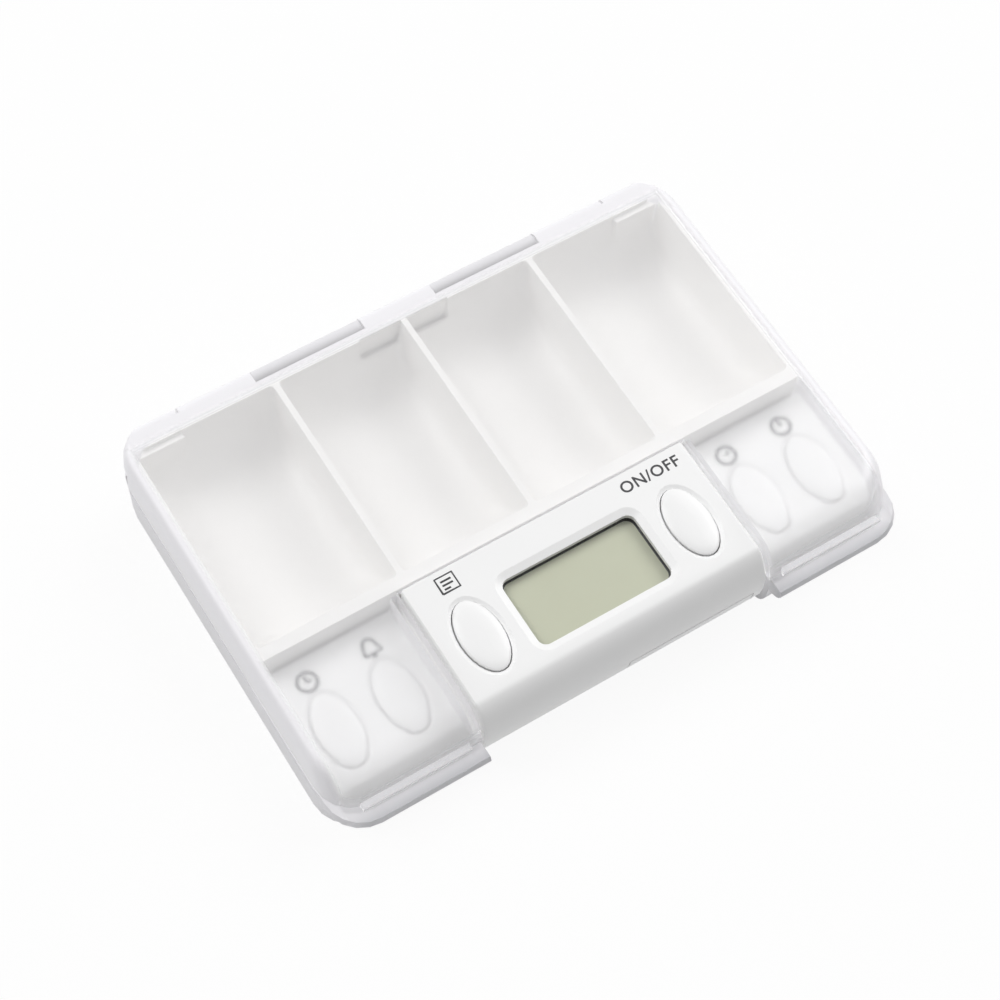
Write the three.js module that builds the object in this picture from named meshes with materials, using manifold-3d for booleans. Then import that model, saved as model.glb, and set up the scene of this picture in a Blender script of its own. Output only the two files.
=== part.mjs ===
// Electronic pill box: a frosted clam-shell case with four pill compartments and a timer unit.
// Units are millimetres. X runs along the case, Y from the front edge to the hinge, Z is up.
// The origin is the middle of the surface that the case rests on.

import * as THREE from 'three';
import { mergeVertices } from 'three/addons/utils/BufferGeometryUtils.js';
import Module from 'manifold-3d';

const wasm = await Module();
wasm.setup();

// Case: overall sizes
const CASE_LENGTH = 112;
const CASE_DEPTH = 80;
const CASE_HEIGHT = 17;
const CORNER_RADIUS = 7;
const CASE_WALL = 1.3;
const CASE_FLOOR = 1.3;
const BOTTOM_ROUND = 2;
const FRONT_ROUND_REACH = 3;
const FRONT_ROUND_HEIGHT = 5;
const CASE_DRAFT = 0.3;
const RIM_HEIGHT = 10.4;
const LEDGE_REACH = 3.1;
const LEDGE_HEIGHT = 3.4;
const LEDGE_STRAIGHT_SHARE = 0.25;
const LEDGE_TOP_INSET = 0.4;
const BACK_WALL = 1.8;
const BACK_WALL_GAP = 0.7;
const BACK_SETBACK = 1.1;
const PART_LINE = 0.2;
const BAY_CLEARANCE = 0.8;

// Hinge
const KNUCKLE_RADIUS = 1.4;
const KNUCKLE_DROP = 0.4;
const KNUCKLE_GAP = 0.2;
const MIDDLE_KNUCKLE_SHARE = 0.1304;
const BASE_KNUCKLE_SHARE = 0.1893;
const LID_KNUCKLE_SHARE = 0.1277;
const HINGE_END_SLOT = 0.5;
const PIN_RADIUS = 0.5;
const PIN_CLEARANCE = 0.12;

// Lid
const LID_PLATE = 1.4;
const LID_DRAFT = 0.5;
const LID_EDGE_ROUND = 1.6;
const LID_INSET = 0.2;
const NOTCH_CLEARANCE = 0.5;
const NOTCH_RIM = 1.2;
const LIP_OFFSET = 2.4;
const LIP_END_MARGIN = 5;
const LID_NOSE_REACH = 5.7;
const LIP_THICKNESS = 1;
const LIP_PROUD = 0.5;
const GROOVE_HEIGHT = 1.7;
const GROOVE_DEPTH = 0.7;

// Pill tray
const TRAY_WALL = 1;
const TRAY_DRAFT = 0.3;
const TRAY_TOP_GAP = 0.4;
const TRAY_SIDE_GAP = 1;
const TRAY_BACK_GAP = 0.3;
const TRAY_FRONT_WALL = 2.3;
const DIVIDER_WALL = 1.1;
const OUTER_COMPARTMENT_EXTRA = 2.3;
const COMPARTMENTS = 4;
const SCOOP_FRONT = 10;
const SCOOP_BACK = 9;
const SCOOP_SIDE = 3;
const TUB_CORNER = 0.8;
const TRAY_FRONT_CORNER = 0.8;
const TUB_DRAFT = 0.3;
const LEDGE_WIDTH = 9.3;
const LEDGE_STEP = 1.1;
const LEDGE_DROP = 0.8;
const RELIEF_HALF_WIDTH = 8.9;
const RELIEF_DEPTH = 0.4;

// Timer housing
const TIMER_WIDTH_SHARE = 0.4982;
const TIMER_DEPTH = 28.3;
const TIMER_WALL = 1.2;
const TIMER_TOP_WALL = 1.4;
const TIMER_EDGE = 0.7;
const TIMER_BACK_GAP = 1;
const NOSE_SETBACK = 0.2;
const ROOM_NOSE_DEPTH = 1.8;
const NOSE_CENTRE_Z = 8.6;
const NOSE_LOW_HALF_HEIGHT = 8.4;
const NOSE_CREST = 0.3;
const SPLIT_HEIGHT = 5;
const SPLIT_GAP = 0.1;
const UNDERSIDE = 0.5;
const WING_TOP = 10.2;
const WING_SIDE_GAP = 0.9;
const WING_FRONT_GAP = 0.6;
const WING_BACK_GAP = 0.6;
const WING_NOSE_REACH = 3.2;
const WING_NOSE_HEIGHT = 5.4;
const SEAT_GAP = 0.2;
const FIT_GAP = 0.1;

// Buttons
const BUTTON_WIDTH_SHARE = 0.1344;
const CENTRE_BUTTON_SHARE = 0.735;
const INNER_WING_BUTTON_SHARE = 0.305;
const OUTER_WING_BUTTON_SHARE = 0.753;
const BUTTON_ROW_OFFSET = 13.8;
const BUTTON_HALF_LENGTH = 6.85;
const BUTTON_CLEARANCE = 0.2;
const BUTTON_DOME = 0.5;
const BUTTON_CROWN_SHARE = 0.8;
const BUTTON_FLANGE = 0.8;
const BUTTON_FLANGE_THICKNESS = 0.6;
const BUTTON_TRAVEL = 0.5;
const BUTTON_STEM = 2.2;
const BUTTON_HALO = 0.7;
const BUTTON_HALO_DEPTH = 0.35;

// Display
const WINDOW_WIDTH_SHARE = 0.932;
const WINDOW_DEPTH = 13.5;
const WINDOW_CORNER = 1.6;
const WINDOW_BEVEL = 1.3;
const WINDOW_BEVEL_DEPTH = 0.5;
const LENS_MARGIN = 1.6;
const LENS_THICKNESS = 0.8;
const LCD_MARGIN = 1.4;
const LCD_THICKNESS = 1.9;
const HOLDER_WALL = 1.1;
const HOLDER_LEDGE = 0.9;
const HOLDER_LEDGE_HEIGHT = 1.2;
const ZEBRA_WIDTH = 2;
const ZEBRA_MARGIN = 2;

// Circuit board and what sits on it
const BOARD_BOTTOM = 5.6;
const BOARD_THICKNESS = 1;
const BOARD_BACK_GAP = 0.4;
const BOARD_SIDE_GAP = 1.6;
const BOARD_NOSE_DEPTH = 2;
const BOARD_WING_GAP = 3.2;
const BOARD_CHAMFER = 3;
const KEY_MAT_THICKNESS = 0.4;
const KEY_DOME_RADIUS = 2.6;
const KEY_MAT_SHARE = 1.173;
const KEY_CROWN_RADIUS = 1.8;
const BLOB_RADIUS = 4.4;
const BLOB_HEIGHT = 1.2;
const CRYSTAL_RADIUS = 1;
const CRYSTAL_LENGTH = 6;
const CHIP_LENGTH = 1.6;
const CHIP_WIDTH = 0.8;
const CHIP_PITCH = 3.2;
const CHIP_COUNT = 4;

// Screws
const SHELL_BOSS_RADIUS = 2.1;
const BOARD_BOSS_RADIUS = 1.7;
const SCREW_RADIUS = 0.8;
const SCREW_CLEARANCE = 0.12;
const SCREW_HEAD_RADIUS = 1.7;
const SCREW_HEAD_HEIGHT = 1.1;
const SCREW_CROWN_RADIUS = 1.2;
const SCREW_TIP_RADIUS = 0.3;
const SHELL_SCREW_LENGTH = 5.2;
const BOARD_SCREW_LENGTH = 3.4;
const SCREW_SLOT_WIDTH = 0.5;
const SCREW_SLOT_DEPTH = 0.4;
const OUTER_SCREW_SIDE_INSET = 3.8;
const OUTER_SCREW_BACK_INSET = 3.4;
const INNER_SCREW_SIDE_OFFSET = 2.9;
const INNER_SCREW_FRONT_OFFSET = 3.5;
const BOARD_SCREW_SIDE_INSET = 4.1;
const BOARD_SCREW_BACK_INSET = 3.8;

// Cells, contacts and battery door
const CELL_RADIUS = 5.8;
const CELL_HEIGHT = 3.05;
const CELL_POLE_RADIUS = 4.4;
const CELL_POLE_HEIGHT = 0.3;
const CELL_CRIMP = 0.5;
const CELL_GAP = 0.3;
const CELL_CLEARANCE = 0.2;
const CRADLE_WALL = 1.1;
const CRADLE_HEIGHT = 4.7;
const DOOR_WIDTH = 24.8;
const DOOR_SIDE_INSET = 14.9;
const DOOR_BACK_OFFSET = 7.9;
const DOOR_CLEARANCE = 0.2;
const DOOR_PLATE = 1.1;
const DOOR_LIP_WALL = 1;
const DOOR_LIP_TOP = 8.3;
const DOOR_TONGUE = 0.8;
const DOOR_TONGUE_THICKNESS = 0.5;
const GRIP_RIBS = 5;
const GRIP_PITCH = 1.4;
const GRIP_WIDTH = 0.6;
const GRIP_DEPTH = 0.3;
const CONTACT_THICKNESS = 0.25;
const CONTACT_WIDTH = 4.2;
const CONTACT_LENGTH = 8;
const CONTACT_BOW_SHARE = 0.8;

// Sounder
const SOUNDER_RADIUS = 6;
const CERAMIC_RADIUS = 4.3;
const SOUNDER_THICKNESS = 0.3;
const CERAMIC_THICKNESS = 0.25;
const SOUNDER_SEAT_HEIGHT = 0.6;
const SOUND_HOLE_RADIUS = 0.7;
const SOUND_HOLE_CIRCLE = 2.8;
const SOUND_HOLES = 6;
const LEAD_RADIUS = 0.4;
const LEAD_SPREAD = 1.6;

// Facets
const CORNER_STEPS = 5;
const ROUND_STEPS = 4;
const FRONT_ROUND_STEPS = 6;
const NOSE_STEPS = 12;
const NOSE_LOW_STEPS = 5;
const NOSE_HIGH_STEPS = 9;
const OVAL_STEPS = 28;
const BARREL_STEPS = 14;
const HOLE_STEPS = 12;
const BEVEL_STEPS = 3;
const CUT = 5;

// Places that follow from the sizes above
const HALF_LENGTH = CASE_LENGTH / 2;
const FRONT = -CASE_DEPTH / 2;
const BACK = CASE_DEPTH / 2;
const BODY_FRONT = FRONT + LEDGE_REACH;
const BODY_BACK = BACK - BACK_SETBACK;
const INNER_BACK = BODY_BACK - BACK_WALL;
const HINGE_Y = BACK - KNUCKLE_RADIUS;
const HINGE_Z = CASE_HEIGHT - KNUCKLE_DROP - KNUCKLE_RADIUS;
const BACK_WALL_HEIGHT = HINGE_Z - KNUCKLE_RADIUS - BACK_WALL_GAP;
const NOSE_HALF_HEIGHT = CASE_HEIGHT - NOSE_CENTRE_Z;
const LID_UNDERSIDE = CASE_HEIGHT - LID_PLATE;
const LID_BOTTOM = RIM_HEIGHT + PART_LINE;
const TIMER_HALF_WIDTH = HALF_LENGTH * TIMER_WIDTH_SHARE;
const BAY_WIDTH = (TIMER_HALF_WIDTH + BAY_CLEARANCE) * 2;
const NOTCH_HALF = TIMER_HALF_WIDTH + NOTCH_CLEARANCE;
const BASE_KNUCKLE_START = CASE_LENGTH * MIDDLE_KNUCKLE_SHARE / 2;
const BASE_KNUCKLE_END = BASE_KNUCKLE_START + CASE_LENGTH * BASE_KNUCKLE_SHARE;
const LID_KNUCKLE_END = BASE_KNUCKLE_END + CASE_LENGTH * LID_KNUCKLE_SHARE;
const LIP_LENGTH = HALF_LENGTH - NOTCH_HALF - LIP_OFFSET - LIP_END_MARGIN;
const SIDE_WALL_END = BACK - CORNER_RADIUS + HINGE_END_SLOT;
const TRAY_TOP = LID_UNDERSIDE - TRAY_TOP_GAP;
const TRAY_BOTTOM = CASE_FLOOR + SEAT_GAP;
const TRAY_HALF = HALF_LENGTH - CASE_WALL - TRAY_SIDE_GAP;
const TRAY_BACK = INNER_BACK - TRAY_BACK_GAP;
const TRAY_INNER_BACK = TRAY_BACK - TRAY_WALL;
const TRAY_FRONT = BODY_FRONT + TIMER_DEPTH;
const TRAY_INNER_FRONT = TRAY_FRONT + TRAY_FRONT_WALL;
const DIVIDER_PITCH = (TRAY_HALF - OUTER_COMPARTMENT_EXTRA) / 2;
const NOSE_CENTRE_Y = BODY_FRONT + LID_NOSE_REACH;
const NOSE_REACH = LID_NOSE_REACH - NOSE_SETBACK;
const MIDDLE_ROOM_FRONT = NOSE_CENTRE_Y - ROOM_NOSE_DEPTH;
const WING_HALF_WIDTH = HALF_LENGTH - CASE_WALL - WING_SIDE_GAP;
const WING_FRONT = BODY_FRONT + CASE_WALL + WING_FRONT_GAP;
const WING_NOSE_Y = WING_FRONT + WING_NOSE_REACH;
const WING_LENGTH = WING_HALF_WIDTH - TIMER_HALF_WIDTH;
const BUTTON_HALF_WIDTH = TIMER_HALF_WIDTH * BUTTON_WIDTH_SHARE;
const BUTTON_ROW_Y = BODY_FRONT + BUTTON_ROW_OFFSET;
const CENTRE_BUTTON_X = TIMER_HALF_WIDTH * CENTRE_BUTTON_SHARE;
const INNER_WING_BUTTON_X = TIMER_HALF_WIDTH + WING_LENGTH * INNER_WING_BUTTON_SHARE;
const OUTER_WING_BUTTON_X = TIMER_HALF_WIDTH + WING_LENGTH * OUTER_WING_BUTTON_SHARE;
const WINDOW_LENGTH = TIMER_HALF_WIDTH * WINDOW_WIDTH_SHARE;
const ZEBRA_LENGTH = WINDOW_LENGTH - ZEBRA_MARGIN;
const KEY_MAT_MARGIN = BUTTON_HALF_WIDTH * KEY_MAT_SHARE;
const TIMER_BACK = TRAY_FRONT - TIMER_BACK_GAP;
const WING_BACK = TRAY_FRONT - WING_BACK_GAP;
const WING_BOTTOM = CASE_FLOOR + SEAT_GAP;
const WING_UNDERSIDE = WING_TOP - TIMER_WALL;
const TIMER_UNDERSIDE = CASE_HEIGHT - TIMER_TOP_WALL;
const BOARD_HALF_LENGTH = WING_HALF_WIDTH - BOARD_SIDE_GAP;
const BOARD_FRONT = NOSE_CENTRE_Y - BOARD_NOSE_DEPTH;
const BOARD_WING_FRONT = WING_FRONT + BOARD_WING_GAP;
const SHELL_SCREW_OUTER_X = WING_HALF_WIDTH - OUTER_SCREW_SIDE_INSET;
const SHELL_SCREW_OUTER_Y = TIMER_BACK - OUTER_SCREW_BACK_INSET;
const SHELL_SCREW_INNER_X = TIMER_HALF_WIDTH + INNER_SCREW_SIDE_OFFSET;
const SHELL_SCREW_INNER_Y = WING_FRONT + INNER_SCREW_FRONT_OFFSET;
const BOARD_SCREW_INNER_X = TIMER_HALF_WIDTH - BOARD_SCREW_SIDE_INSET;
const BOARD_SCREW_OUTER_X = (INNER_WING_BUTTON_X + OUTER_WING_BUTTON_X) / 2;
const BOARD_SCREW_Y = TIMER_BACK - BOARD_SCREW_BACK_INSET;
const DOOR_CENTRE_X = TIMER_HALF_WIDTH - DOOR_SIDE_INSET;
const DOOR_BACK = BUTTON_ROW_Y + DOOR_BACK_OFFSET;
const CRADLE_HALF_LENGTH = DOOR_WIDTH / 2 + DOOR_CLEARANCE + CRADLE_WALL;
const SOUNDER_ROOM_RIGHT = DOOR_CENTRE_X - CRADLE_HALF_LENGTH;
const SOUNDER_ROOM_LEFT = TIMER_WALL - TIMER_HALF_WIDTH;
const SOUNDER_X = (SOUNDER_ROOM_LEFT + SOUNDER_ROOM_RIGHT) / 2;
const BOARD_TOP = BOARD_BOTTOM + BOARD_THICKNESS;
const KEY_DOME_TOP = WING_UNDERSIDE - FIT_GAP - BUTTON_FLANGE_THICKNESS - BUTTON_TRAVEL - SEAT_GAP;
const LENS_BOTTOM = TIMER_UNDERSIDE - FIT_GAP - LENS_THICKNESS;
const LCD_TOP = LENS_BOTTOM - FIT_GAP;
const LCD_BOTTOM = LCD_TOP - LCD_THICKNESS;
const FLOOR_TOP = UNDERSIDE + TIMER_WALL;
const DOOR_TOP = UNDERSIDE + DOOR_PLATE;
const LINK_TOP = DOOR_TOP + FIT_GAP + CONTACT_THICKNESS;
const CELL_BOTTOM = LINK_TOP + FIT_GAP;
const CELL_SPACING = CELL_RADIUS * 2 + CELL_GAP;

// One ring of a rounded rectangle at a height, counter-clockwise seen from above
function roundedRing(left, right, front, back, radius, height, frontRadius = radius) {
  const ring = [];
  const corners = [
    [right - frontRadius, front + frontRadius, -Math.PI / 2, frontRadius],
    [right - radius, back - radius, 0, radius],
    [left + radius, back - radius, Math.PI / 2, radius],
    [left + frontRadius, front + frontRadius, Math.PI, frontRadius],
  ];
  for (const [cornerX, cornerY, start, round] of corners) {
    for (let step = 0; step <= CORNER_STEPS; step += 1) {
      const angle = start + (Math.PI / 2) * (step / CORNER_STEPS);
      const x = cornerX + round * Math.cos(angle);
      const y = cornerY + round * Math.sin(angle);
      ring.push(new THREE.Vector3(x, y, height));
    }
  }
  return ring;
}

// One ring of an oval about a centre
function ovalRing(centreX, centreY, halfWidth, halfLength, height, steps = OVAL_STEPS) {
  const ring = [];
  for (let step = 0; step < steps; step += 1) {
    const angle = (2 * Math.PI * step) / steps;
    const x = centreX + halfWidth * Math.cos(angle);
    const y = centreY + halfLength * Math.sin(angle);
    ring.push(new THREE.Vector3(x, y, height));
  }
  return ring;
}

// A closed mesh that joins rings of equal count, from the lowest to the highest
function loftGeometry(rings) {
  const count = rings[0].length;
  const positions = rings.flat().flatMap((point) => [point.x, point.y, point.z]);
  const index = [];
  for (let ring = 0; ring < rings.length - 1; ring += 1) {
    for (let side = 0; side < count; side += 1) {
      const next = (side + 1) % count;
      const low = ring * count;
      const high = low + count;
      index.push(low + side, low + next, high + next);
      index.push(low + side, high + next, high + side);
    }
  }
  const top = (rings.length - 1) * count;
  for (let side = 1; side < count - 1; side += 1) {
    index.push(0, side + 1, side);
    index.push(top, top + side, top + side + 1);
  }
  const geometry = new THREE.BufferGeometry();
  geometry.setAttribute('position', new THREE.Float32BufferAttribute(positions, 3));
  geometry.setIndex(index);
  return geometry;
}

// A mesh as a solid that can be joined and cut
function toSolid(geometry) {
  const bare = geometry.clone();
  bare.deleteAttribute('normal');
  bare.deleteAttribute('uv');
  const welded = mergeVertices(bare);
  return new wasm.Manifold(new wasm.Mesh({
    numProp: 3,
    vertProperties: new Float32Array(welded.getAttribute('position').array),
    triVerts: new Uint32Array(welded.getIndex().array),
  }));
}

// A solid as a mesh
function toGeometry(solid) {
  const mesh = solid.getMesh();
  const geometry = new THREE.BufferGeometry();
  geometry.setAttribute('position', new THREE.BufferAttribute(mesh.vertProperties, 3));
  geometry.setIndex(new THREE.BufferAttribute(mesh.triVerts, 1));
  geometry.computeVertexNormals();
  return geometry;
}

function join(first, ...others) {
  return others.reduce((solid, other) => solid.add(other), first);
}

function cut(body, ...tools) {
  return tools.reduce((solid, tool) => solid.subtract(tool), body);
}

function loft(rings) {
  return toSolid(loftGeometry(rings));
}

function box(left, right, front, back, bottom, top) {
  const geometry = new THREE.BoxGeometry(right - left, back - front, top - bottom);
  geometry.translate((left + right) / 2, (front + back) / 2, (bottom + top) / 2);
  return toSolid(geometry);
}

// An upright cylinder
function post(x, y, radius, bottom, top, steps = HOLE_STEPS) {
  const geometry = new THREE.CylinderGeometry(radius, radius, top - bottom, steps);
  geometry.rotateX(Math.PI / 2);
  geometry.translate(x, y, (bottom + top) / 2);
  return toSolid(geometry);
}

// A cylinder along X
function rod(left, right, y, z, radius, steps = BARREL_STEPS) {
  const geometry = new THREE.CylinderGeometry(radius, radius, right - left, steps);
  geometry.rotateZ(Math.PI / 2);
  geometry.translate((left + right) / 2, y, z);
  return toSolid(geometry);
}

// An outline drawn in Y and Z, pushed along X, with its end edges rounded by a radius
function sweepAlongX(outline, left, right, rounding = 0) {
  const shape = new THREE.Shape(outline.map(([y, z]) => new THREE.Vector2(y, z)));
  const geometry = new THREE.ExtrudeGeometry(shape, {
    depth: right - left - 2 * rounding,
    bevelEnabled: rounding > 0,
    bevelThickness: rounding,
    bevelSize: rounding,
    bevelOffset: -rounding,
    bevelSegments: BEVEL_STEPS,
  });
  const axes = new THREE.Matrix4().makeBasis(
    new THREE.Vector3(0, 1, 0),
    new THREE.Vector3(0, 0, 1),
    new THREE.Vector3(1, 0, 0),
  );
  geometry.applyMatrix4(axes);
  geometry.translate(left + rounding, 0, 0);
  return toSolid(geometry);
}

// Points of an elliptical arc in Y and Z, between two angles measured from the front
function noseArc(centreY, centreZ, reach, halfHeight, from, to, steps = NOSE_STEPS) {
  const points = [];
  for (let step = 0; step <= steps; step += 1) {
    const angle = from + (to - from) * (step / steps);
    points.push([centreY - reach * Math.cos(angle), centreZ + halfHeight * Math.sin(angle)]);
  }
  return points;
}

// The angle at which an elliptical nose stands at a height
function noseAngle(height, centreZ, halfHeight) {
  return Math.asin(THREE.MathUtils.clamp((height - centreZ) / halfHeight, -1, 1));
}

// A mirrored pair of a solid made for one side of the case
function bothSides(make) {
  return join(make(-1), make(1));
}

// Quarter-round rings at the bottom or top edge of a body: pairs of inset and height
function quarterRound(radius, height, upward) {
  const pairs = [];
  for (let step = 0; step <= ROUND_STEPS; step += 1) {
    const angle = (Math.PI / 2) * (step / ROUND_STEPS);
    const inset = radius * (1 - Math.sin(angle));
    const rise = radius * (1 - Math.cos(angle));
    pairs.push([inset, height + (upward ? rise : -rise)]);
  }
  return upward ? pairs : pairs.reverse();
}

// How far a rounded lower edge of this reach and height stands back at a rise above its foot
function lowerInset(rise, reach, height) {
  const left = Math.max(1 - rise / height, 0);
  return reach * (1 - Math.sqrt(1 - left * left));
}

// Heights that step up the tall round at the front of the case, from its foot to its top
function frontRoundRises(height) {
  const rises = [];
  for (let step = 0; step <= FRONT_ROUND_STEPS; step += 1) {
    rises.push(height * (1 - Math.cos((Math.PI / 2) * (step / FRONT_ROUND_STEPS))));
  }
  return rises;
}

// Case base: a small round at the sides and back, and a tall one under the thumb ledges
function makeCaseBody() {
  const rings = frontRoundRises(FRONT_ROUND_HEIGHT).map((rise) => {
    const side = lowerInset(rise, BOTTOM_ROUND, BOTTOM_ROUND);
    const front = lowerInset(rise, FRONT_ROUND_REACH, FRONT_ROUND_HEIGHT);
    return roundedRing(
      -HALF_LENGTH + CASE_DRAFT + side,
      HALF_LENGTH - CASE_DRAFT - side,
      BODY_FRONT + front,
      BODY_BACK - side,
      CORNER_RADIUS - side,
      rise,
    );
  });
  rings.push(roundedRing(
    -HALF_LENGTH, HALF_LENGTH, BODY_FRONT, BODY_BACK, CORNER_RADIUS, BACK_WALL_HEIGHT,
  ));
  return loft(rings);
}

// The thumb ledge that swells out of the front wall, with a rounded underside
function makeThumbLedge() {
  const rings = [];
  const straight = LEDGE_HEIGHT * LEDGE_STRAIGHT_SHARE;
  const centre = RIM_HEIGHT - straight;
  for (let step = 0; step <= NOSE_STEPS / 2; step += 1) {
    const angle = (Math.PI / 2) * (1 - step / (NOSE_STEPS / 2));
    const inset = LEDGE_REACH * (1 - Math.cos(angle));
    const height = centre - (LEDGE_HEIGHT - straight) * Math.sin(angle);
    rings.push(ledgeRing(inset, height));
  }
  rings.push(ledgeRing(LEDGE_TOP_INSET, RIM_HEIGHT));
  return loft(rings);
}

function ledgeRing(inset, height) {
  return roundedRing(
    -HALF_LENGTH + inset,
    HALF_LENGTH - inset,
    FRONT + inset,
    TRAY_FRONT - inset,
    CORNER_RADIUS - inset / 2,
    height,
  );
}

function makeCaseCavity() {
  const inner = HALF_LENGTH - CASE_WALL;
  const inside = BOTTOM_ROUND / 2;
  const reach = FRONT_ROUND_REACH - CASE_WALL;
  const height = FRONT_ROUND_HEIGHT - CASE_FLOOR;
  const ring = (rise) => {
    const side = lowerInset(rise, inside, inside);
    return roundedRing(
      -inner + side,
      inner - side,
      BODY_FRONT + CASE_WALL + lowerInset(rise, reach, height),
      INNER_BACK - side,
      CORNER_RADIUS - CASE_WALL,
      CASE_FLOOR + rise,
    );
  };
  return loft([...frontRoundRises(height), CASE_HEIGHT + CUT].map(ring));
}

// One hinge knuckle of the base: a barrel on a web that grows out of the back wall
function makeBaseKnuckle(left, right) {
  const web = [
    [INNER_BACK + BACK_WALL / 4, BACK_WALL_HEIGHT - CORNER_RADIUS],
    [BODY_BACK, BACK_WALL_HEIGHT - CORNER_RADIUS],
    [BACK, HINGE_Z - KNUCKLE_RADIUS],
    [BACK, HINGE_Z],
    [HINGE_Y - KNUCKLE_RADIUS, HINGE_Z],
    [INNER_BACK + BACK_WALL / 4, BACK_WALL_HEIGHT - KNUCKLE_RADIUS],
  ];
  return join(sweepAlongX(web, left, right), rod(left, right, HINGE_Y, HINGE_Z, KNUCKLE_RADIUS));
}

function pinHole() {
  return rod(
    -LID_KNUCKLE_END + CASE_WALL,
    LID_KNUCKLE_END - CASE_WALL,
    HINGE_Y,
    HINGE_Z,
    PIN_RADIUS + PIN_CLEARANCE,
    HOLE_STEPS,
  );
}

function makeCaseBase() {
  const aboveRim = box(
    -HALF_LENGTH - CUT, HALF_LENGTH + CUT, FRONT - CUT, SIDE_WALL_END + HINGE_END_SLOT,
    RIM_HEIGHT, CASE_HEIGHT,
  );
  const bay = box(
    -BAY_WIDTH / 2, BAY_WIDTH / 2, FRONT - CUT, TIMER_BACK + SEAT_GAP, -CUT, CASE_HEIGHT,
  );
  const shell = cut(makeCaseBody().add(makeThumbLedge()), makeCaseCavity(), aboveRim, bay);
  const knuckles = bothSides((side) => makeBaseKnuckle(
    Math.min(side * (BASE_KNUCKLE_START), side * BASE_KNUCKLE_END),
    Math.max(side * (BASE_KNUCKLE_START), side * BASE_KNUCKLE_END),
  ));
  return cut(shell.add(knuckles), pinHole());
}

// Lid
// Rings that climb the bull-nosed front while the sides draft in and round over at the top
function lidPlan(wall, plate) {
  const top = CASE_HEIGHT - plate;
  const reach = NOSE_CENTRE_Y - BODY_FRONT - wall;
  const halfHeight = NOSE_HALF_HEIGHT - plate;
  const rounding = LID_EDGE_ROUND - plate / 2;
  const from = noseAngle(LID_BOTTOM, NOSE_CENTRE_Z, halfHeight);
  const ring = (angle, height) => {
    const climb = (height - LID_BOTTOM) / (CASE_HEIGHT - LID_BOTTOM);
    const over = Math.min(Math.max(height - top + rounding, 0), rounding);
    const turn = rounding - Math.sqrt(rounding * rounding - over * over);
    const inset = LID_DRAFT * climb + turn;
    const edge = HALF_LENGTH - LID_INSET - wall - inset;
    const front = NOSE_CENTRE_Y - reach * Math.cos(angle);
    return roundedRing(-edge, edge, front, BACK, CORNER_RADIUS - wall - inset / 2, height);
  };
  const rings = wall > 0 ? [ring(from, LID_BOTTOM - CUT)] : [];
  for (let step = 0; step <= NOSE_STEPS; step += 1) {
    const angle = from + (Math.PI / 2 - from) * (step / NOSE_STEPS);
    rings.push(ring(angle, NOSE_CENTRE_Z + halfHeight * Math.sin(angle)));
  }
  return loft(rings);
}

// Side view of the lid: open at the front, flat on top, with a back edge rolled about the hinge
function lidSideView() {
  const topRadius = CASE_HEIGHT - HINGE_Z;
  const outline = [[FRONT, LID_BOTTOM], [FRONT, CASE_HEIGHT], [HINGE_Y, CASE_HEIGHT]];
  for (let step = 1; step <= ROUND_STEPS; step += 1) {
    const angle = (Math.PI / 2) * (1 - step / ROUND_STEPS);
    const y = HINGE_Y + KNUCKLE_RADIUS * Math.cos(angle);
    outline.push([y, HINGE_Z + topRadius * Math.sin(angle)]);
  }
  for (let step = 1; step <= ROUND_STEPS; step += 1) {
    const angle = -(Math.PI / 2) * (step / ROUND_STEPS);
    const y = HINGE_Y + KNUCKLE_RADIUS * Math.cos(angle);
    outline.push([y, HINGE_Z + KNUCKLE_RADIUS * Math.sin(angle)]);
  }
  outline.push([SIDE_WALL_END, HINGE_Z - KNUCKLE_RADIUS]);
  outline.push([SIDE_WALL_END, LID_BOTTOM]);
  return outline;
}

// Side view of the room under the lid, which ends at the rolled back edge
function lidHollowView() {
  const outline = [[FRONT, 0], [FRONT, LID_UNDERSIDE]];
  outline.push([HINGE_Y - KNUCKLE_RADIUS, LID_UNDERSIDE]);
  for (let step = 0; step <= ROUND_STEPS; step += 1) {
    const angle = Math.PI + (Math.PI / 2) * (step / ROUND_STEPS);
    const y = HINGE_Y + KNUCKLE_RADIUS * Math.cos(angle);
    outline.push([y, HINGE_Z + KNUCKLE_RADIUS * Math.sin(angle)]);
  }
  outline.push([HINGE_Y, 0]);
  return outline;
}

function makeThumbLip(side) {
  const inner = side * (NOTCH_HALF + LIP_OFFSET);
  const outer = inner + side * LIP_LENGTH;
  const left = Math.min(inner, outer);
  const right = Math.max(inner, outer);
  const lipTop = LID_BOTTOM + LIP_THICKNESS;
  const lip = box(
    left, right, BODY_FRONT - LIP_PROUD, BODY_FRONT + CASE_WALL / 2, LID_BOTTOM, lipTop,
  );
  const groove = box(
    left, right, FRONT, BODY_FRONT + GROOVE_DEPTH, lipTop, lipTop + GROOVE_HEIGHT,
  );
  return { lip, groove };
}

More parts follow.
